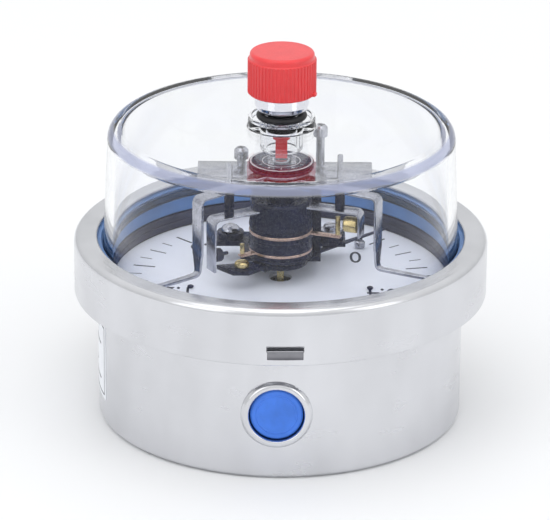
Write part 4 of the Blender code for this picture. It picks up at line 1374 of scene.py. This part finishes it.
@dataclass
class SetPointer(Assembly):
    """One set pointer with its bracket, post, magnet and the switch arm that it carries."""

    side: str
    magnet_finish: Finish
    bead_inner: float = 6.4
    bead_proud: float = 0.2

    def bead(self, arm: str) -> None:
        """The rounded contact track along the edge of the switch arm's ring."""
        low, high = levels(arm)
        outer = reach("drum_lower") - 0.05
        low, high = low - self.bead_proud, high + self.bead_proud
        bead = turned(f"{self.side}_contact_track", [
            (self.bead_inner, low, 0.1), (outer, low, 0.3), (outer, high, 0.3),
            (self.bead_inner, high, 0.1)], NARROW_SEGMENTS)
        self.dress(bead, BRONZE, body=BODY_OF[arm])

    def build(self) -> None:
        """Dress the pointer's bent strips and turned pieces."""
        side = self.side
        self.bead(f"{side}_contact_arm")
        self.refine(PLATED, f"{side}_pointer_arm", f"{side}_bracket", edge=0.14)
        self.refine(BLACK_MOULDING, f"{side}_post", edge=0.2)
        self.refine(self.magnet_finish, f"{side}_magnet", edge=0.2)
        self.refine(BRONZE, f"{side}_contact_arm", edge=0.08)
        self.refine(BRASS, f"{side}_contact", edge=0.1)


@dataclass
class Adjuster(Assembly):
    """Red cap with its blade, over the spring and bush in the window's boss."""

    ribs: int = 54
    rib_width: float = 0.62
    rib_low: float = 1.0
    rib_high: float = 1.9
    cap_wall: float = 3.0
    bore: float = 8.4
    spring_turns: float = 6.5
    spring_wire: float = 0.45
    push_travel: float = 4.0

    def cap(self) -> None:
        """The ribbed cap and the moulding nub at its edge."""
        low, high = levels("knob_cap")
        radius = reach("knob_cap")
        skirt = radius - 0.18
        ceiling = high - self.cap_wall
        cap = turned("cap_finished", [
            (0, high), (radius - 0.5, high, 1.3),
            (radius - 0.5, high - self.rib_high, 0.1), (skirt, high - self.rib_high - 0.3, 0.2),
            (skirt, low + 0.5, 0.2), (radius - 0.5, low, 0.3), (self.bore, low, 0.3),
            (self.bore, ceiling, 0.3), (0, ceiling)], 162)
        self.dress(cap, RED_PLASTIC, "knob_cap")
        height = high - self.rib_high - 0.25 - low - self.rib_low * 0.4
        ribs = repeated("cap_ribs", RED_PLASTIC, self.ribs, skirt - 0.1, 0, 360 / self.ribs,
                        (0.6, self.rib_width, height), low + self.rib_low * 0.4 + height / 2, 8)
        self.dress(ribs, RED_PLASTIC, body="knob")
        nub = block("cap_nub", (radius - 0.5, -0.9, low + 0.2), (radius + 0.6, 0.9, low + 1.3),
                    0.35, Matrix.Rotation(math.radians(-20), 4, "Z"))
        self.dress(nub, RED_PLASTIC, body="knob")

    def bush(self) -> None:
        """The chromed bush, its seal, and the spring under the cap."""
        radius = reach("adjuster_bush")
        low, high = levels("adjuster_bush")
        shoulder = levels("bush_seal")[1] + GAP
        bush = turned("bush_finished", [
            (2.9, low, 0.1), (4, low, 0.2), (4, shoulder, 0.1), (radius - 1.4, shoulder, 0.4),
            (radius - 0.4, shoulder + 0.9, 0.6), (radius, shoulder + 2.2, 1.0),
            (radius, high, 0.3), (radius - 1.6, high, 0.2), (radius - 1.6, shoulder + 1.9, 0.2),
            (2.9, shoulder + 1.9, 0.1)], NARROW_SEGMENTS)
        self.dress(bush, CHROME, "adjuster_bush")
        outer = reach("bush_seal")
        middle = sum(levels("bush_seal")) / 2
        half = (outer - 4.7) / 2
        seal = turned("bush_seal_finished", [
            (outer - half + half * math.cos(FULL_TURN * i / 20),
             middle + half * 0.86 * math.sin(FULL_TURN * i / 20)) for i in range(20)],
            NARROW_SEGMENTS)
        self.dress(seal, BLACK_RUBBER, "bush_seal")
        low, high = levels("adjuster_spring")
        middle = reach("adjuster_spring") - 0.8
        spring = wound("spring_finished", PLATED, self.spring_turns, (middle, middle),
                       high - low - 2 * self.spring_wire, self.spring_wire,
                       (0, 0, low + self.spring_wire))
        spring.data.materials.clear()
        spring.data.materials.append(material_of(PLATED))
        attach(spring, BODY_OF["adjuster_spring"])
        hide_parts("adjuster_spring")
        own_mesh(spring)
        LOG.info("%s: squashed with the push", spring.name)

    def build(self) -> None:
        """Make and dress the adjuster."""
        self.cap()
        self.bush()
        self.refine(PLATED, "thrust_washer", edge=0.1)
        self.refine(RED_PLASTIC, "key_blade", edge=0.12)


class Movement(Assembly):
    """Tube, link, sector and pinion in the closed space under the dial."""

    def build(self) -> None:
        """Dress the pieces that the dial hides, and add the spiral."""
        self.refine(BRONZE, "bourdon_tube", edge=0.1)
        self.refine(BRASS, "tube_tip", "sector_gear", "movement_lower_plate",
                    "movement_upper_plate", "pinion_arbor", edge=0.15)
        self.refine(PLATED, "movement_link", "movement_screw_left", "movement_screw_right",
                    edge=0.12)
        low, high = levels("movement_hairspring")
        spiral = wound("hairspring_finished", BRONZE, 3.0, (2.35, 6.9), 0.01, 0.16,
                       (0, 0, (low + high) / 2))
        self.dress(spiral, BRONZE, "movement_hairspring")


# Studio ------------------------------------------------------------------------------------


@dataclass
class Studio:
    """Pale floor, soft light all round and the camera."""

    camera_place: Place = (0.0, -1116.985, 487.361)
    pitch: float = 0.378383512
    roll: float = 0.00778839
    yaw: float = -0.00135309
    focal: float = 286.44
    floor_size: float = 6000.0
    sky_low: float = 0.72
    sky_high: float = 1.0
    floor_tone: Colour = (0.885, 0.89, 0.9)

    def camera(self) -> None:
        """Stand the camera in front of the gauge and a little above it."""
        data = bpy.data.cameras.new("camera")
        data.lens = self.focal
        data.sensor_width = 36.0
        data.clip_start, data.clip_end = 0.05, 20.0
        camera = bpy.data.objects.new("camera", data)
        bpy.context.scene.collection.objects.link(camera)
        ahead = Vector((math.sin(self.yaw) * math.cos(self.pitch),
                        math.cos(self.yaw) * math.cos(self.pitch), -math.sin(self.pitch)))
        level = Vector((math.cos(self.yaw), -math.sin(self.yaw), 0.0))
        rise = level.cross(ahead)
        right = math.cos(self.roll) * level + math.sin(self.roll) * rise
        up = math.cos(self.roll) * rise - math.sin(self.roll) * level
        camera.matrix_world = Matrix((
            (right.x, up.x, -ahead.x, self.camera_place[0] * MM),
            (right.y, up.y, -ahead.y, self.camera_place[1] * MM),
            (right.z, up.z, -ahead.z, self.camera_place[2] * MM),
            (0, 0, 0, 1)))
        bpy.context.scene.camera = camera

    def floor(self) -> None:
        """The pale surface that the gauge lies on."""
        half = self.floor_size / 2
        bm = bmesh.new()
        bm.faces.new([bm.verts.new((x * half, y * half, -0.05))
                      for x, y in ((-1, -1), (1, -1), (1, 1), (-1, 1))])
        floor = shown("floor", meshed("floor", bm))
        card = Finish("floor_card", "white_enamel", self.floor_tone, drift=0.006,
                      patch=(160.0, 160.0, 160.0), grain=(2.0, 2.0, 2.0), depth=0.0,
                      gloss=(0.6, 0.7), specular=0.2)
        floor.data.materials.append(material_of(card))

    def sky(self) -> None:
        """Soft light from all round, a little darker towards the horizon."""
        world = bpy.data.worlds.new("studio")
        bpy.context.scene.world = world
        world.use_nodes = True
        nodes, links = world.node_tree.nodes, world.node_tree.links
        place = nodes.new("ShaderNodeTexCoord")
        parts = nodes.new("ShaderNodeSeparateXYZ")
        ramp = nodes.new("ShaderNodeValToRGB")
        low, high = ramp.color_ramp.elements
        low.position, high.position = 0.0, 0.75
        low.color = (self.sky_low * 0.97, self.sky_low * 0.985, self.sky_low, 1)
        high.color = (self.sky_high * 0.99, self.sky_high * 0.995, self.sky_high, 1)
        links.new(place.outputs["Generated"], parts.inputs[0])
        links.new(parts.outputs["Z"], ramp.inputs["Fac"])
        links.new(ramp.outputs["Color"], nodes["Background"].inputs["Color"])
        nodes["Background"].inputs["Strength"].default_value = 1.0

    def lamp(self, name: str, place: Place, size: tuple[float, float], power: float) -> None:
        """A large soft lamp aimed at the gauge.

        Args:
            name: the lamp's name.
            place: where it hangs, in millimetres.
            size: its width and height, in millimetres.
            power: its power in watts.
        """
        data = bpy.data.lights.new(name, "AREA")
        data.shape = "RECTANGLE"
        data.size, data.size_y = size[0] * MM, size[1] * MM
        data.energy = power
        lamp = bpy.data.objects.new(name, data)
        bpy.context.scene.collection.objects.link(lamp)
        spot = Vector(place) * MM
        aim = Vector((0, 0, 0.045)) - spot
        facing = aim.to_track_quat("-Z", "Y").to_matrix().to_4x4()
        lamp.matrix_world = Matrix.Translation(spot) @ facing

    def build(self) -> None:
        """Set up the whole studio."""
        self.camera()
        self.floor()
        self.sky()
        self.lamp("overhead", (-120, -250, 1500), (1300, 1300), 5.0)
        self.lamp("front_left", (-900, -900, 700), (700, 900), 2.0)
        self.lamp("front_right", (1000, -700, 600), (500, 900), 1.8)
        bpy.context.scene.view_settings.view_transform = "Standard"


def main() -> None:
    """Build the gauge sub-assembly by sub-assembly."""
    logging.basicConfig(level=logging.INFO, format="%(name)s %(message)s", stream=sys.stdout)
    Studio().build()
    CaseAssembly().build()
    BezelAssembly().build()
    WindowAssembly().build()
    VentAssembly().build()
    Movement().build()
    DialAssembly().build()
    ContactHead().build()
    SetPointer("low", BRASS).build()
    SetPointer("high", DARK_ENAMEL).build()
    Adjuster().build()


if __name__ == "__main__":
    main()
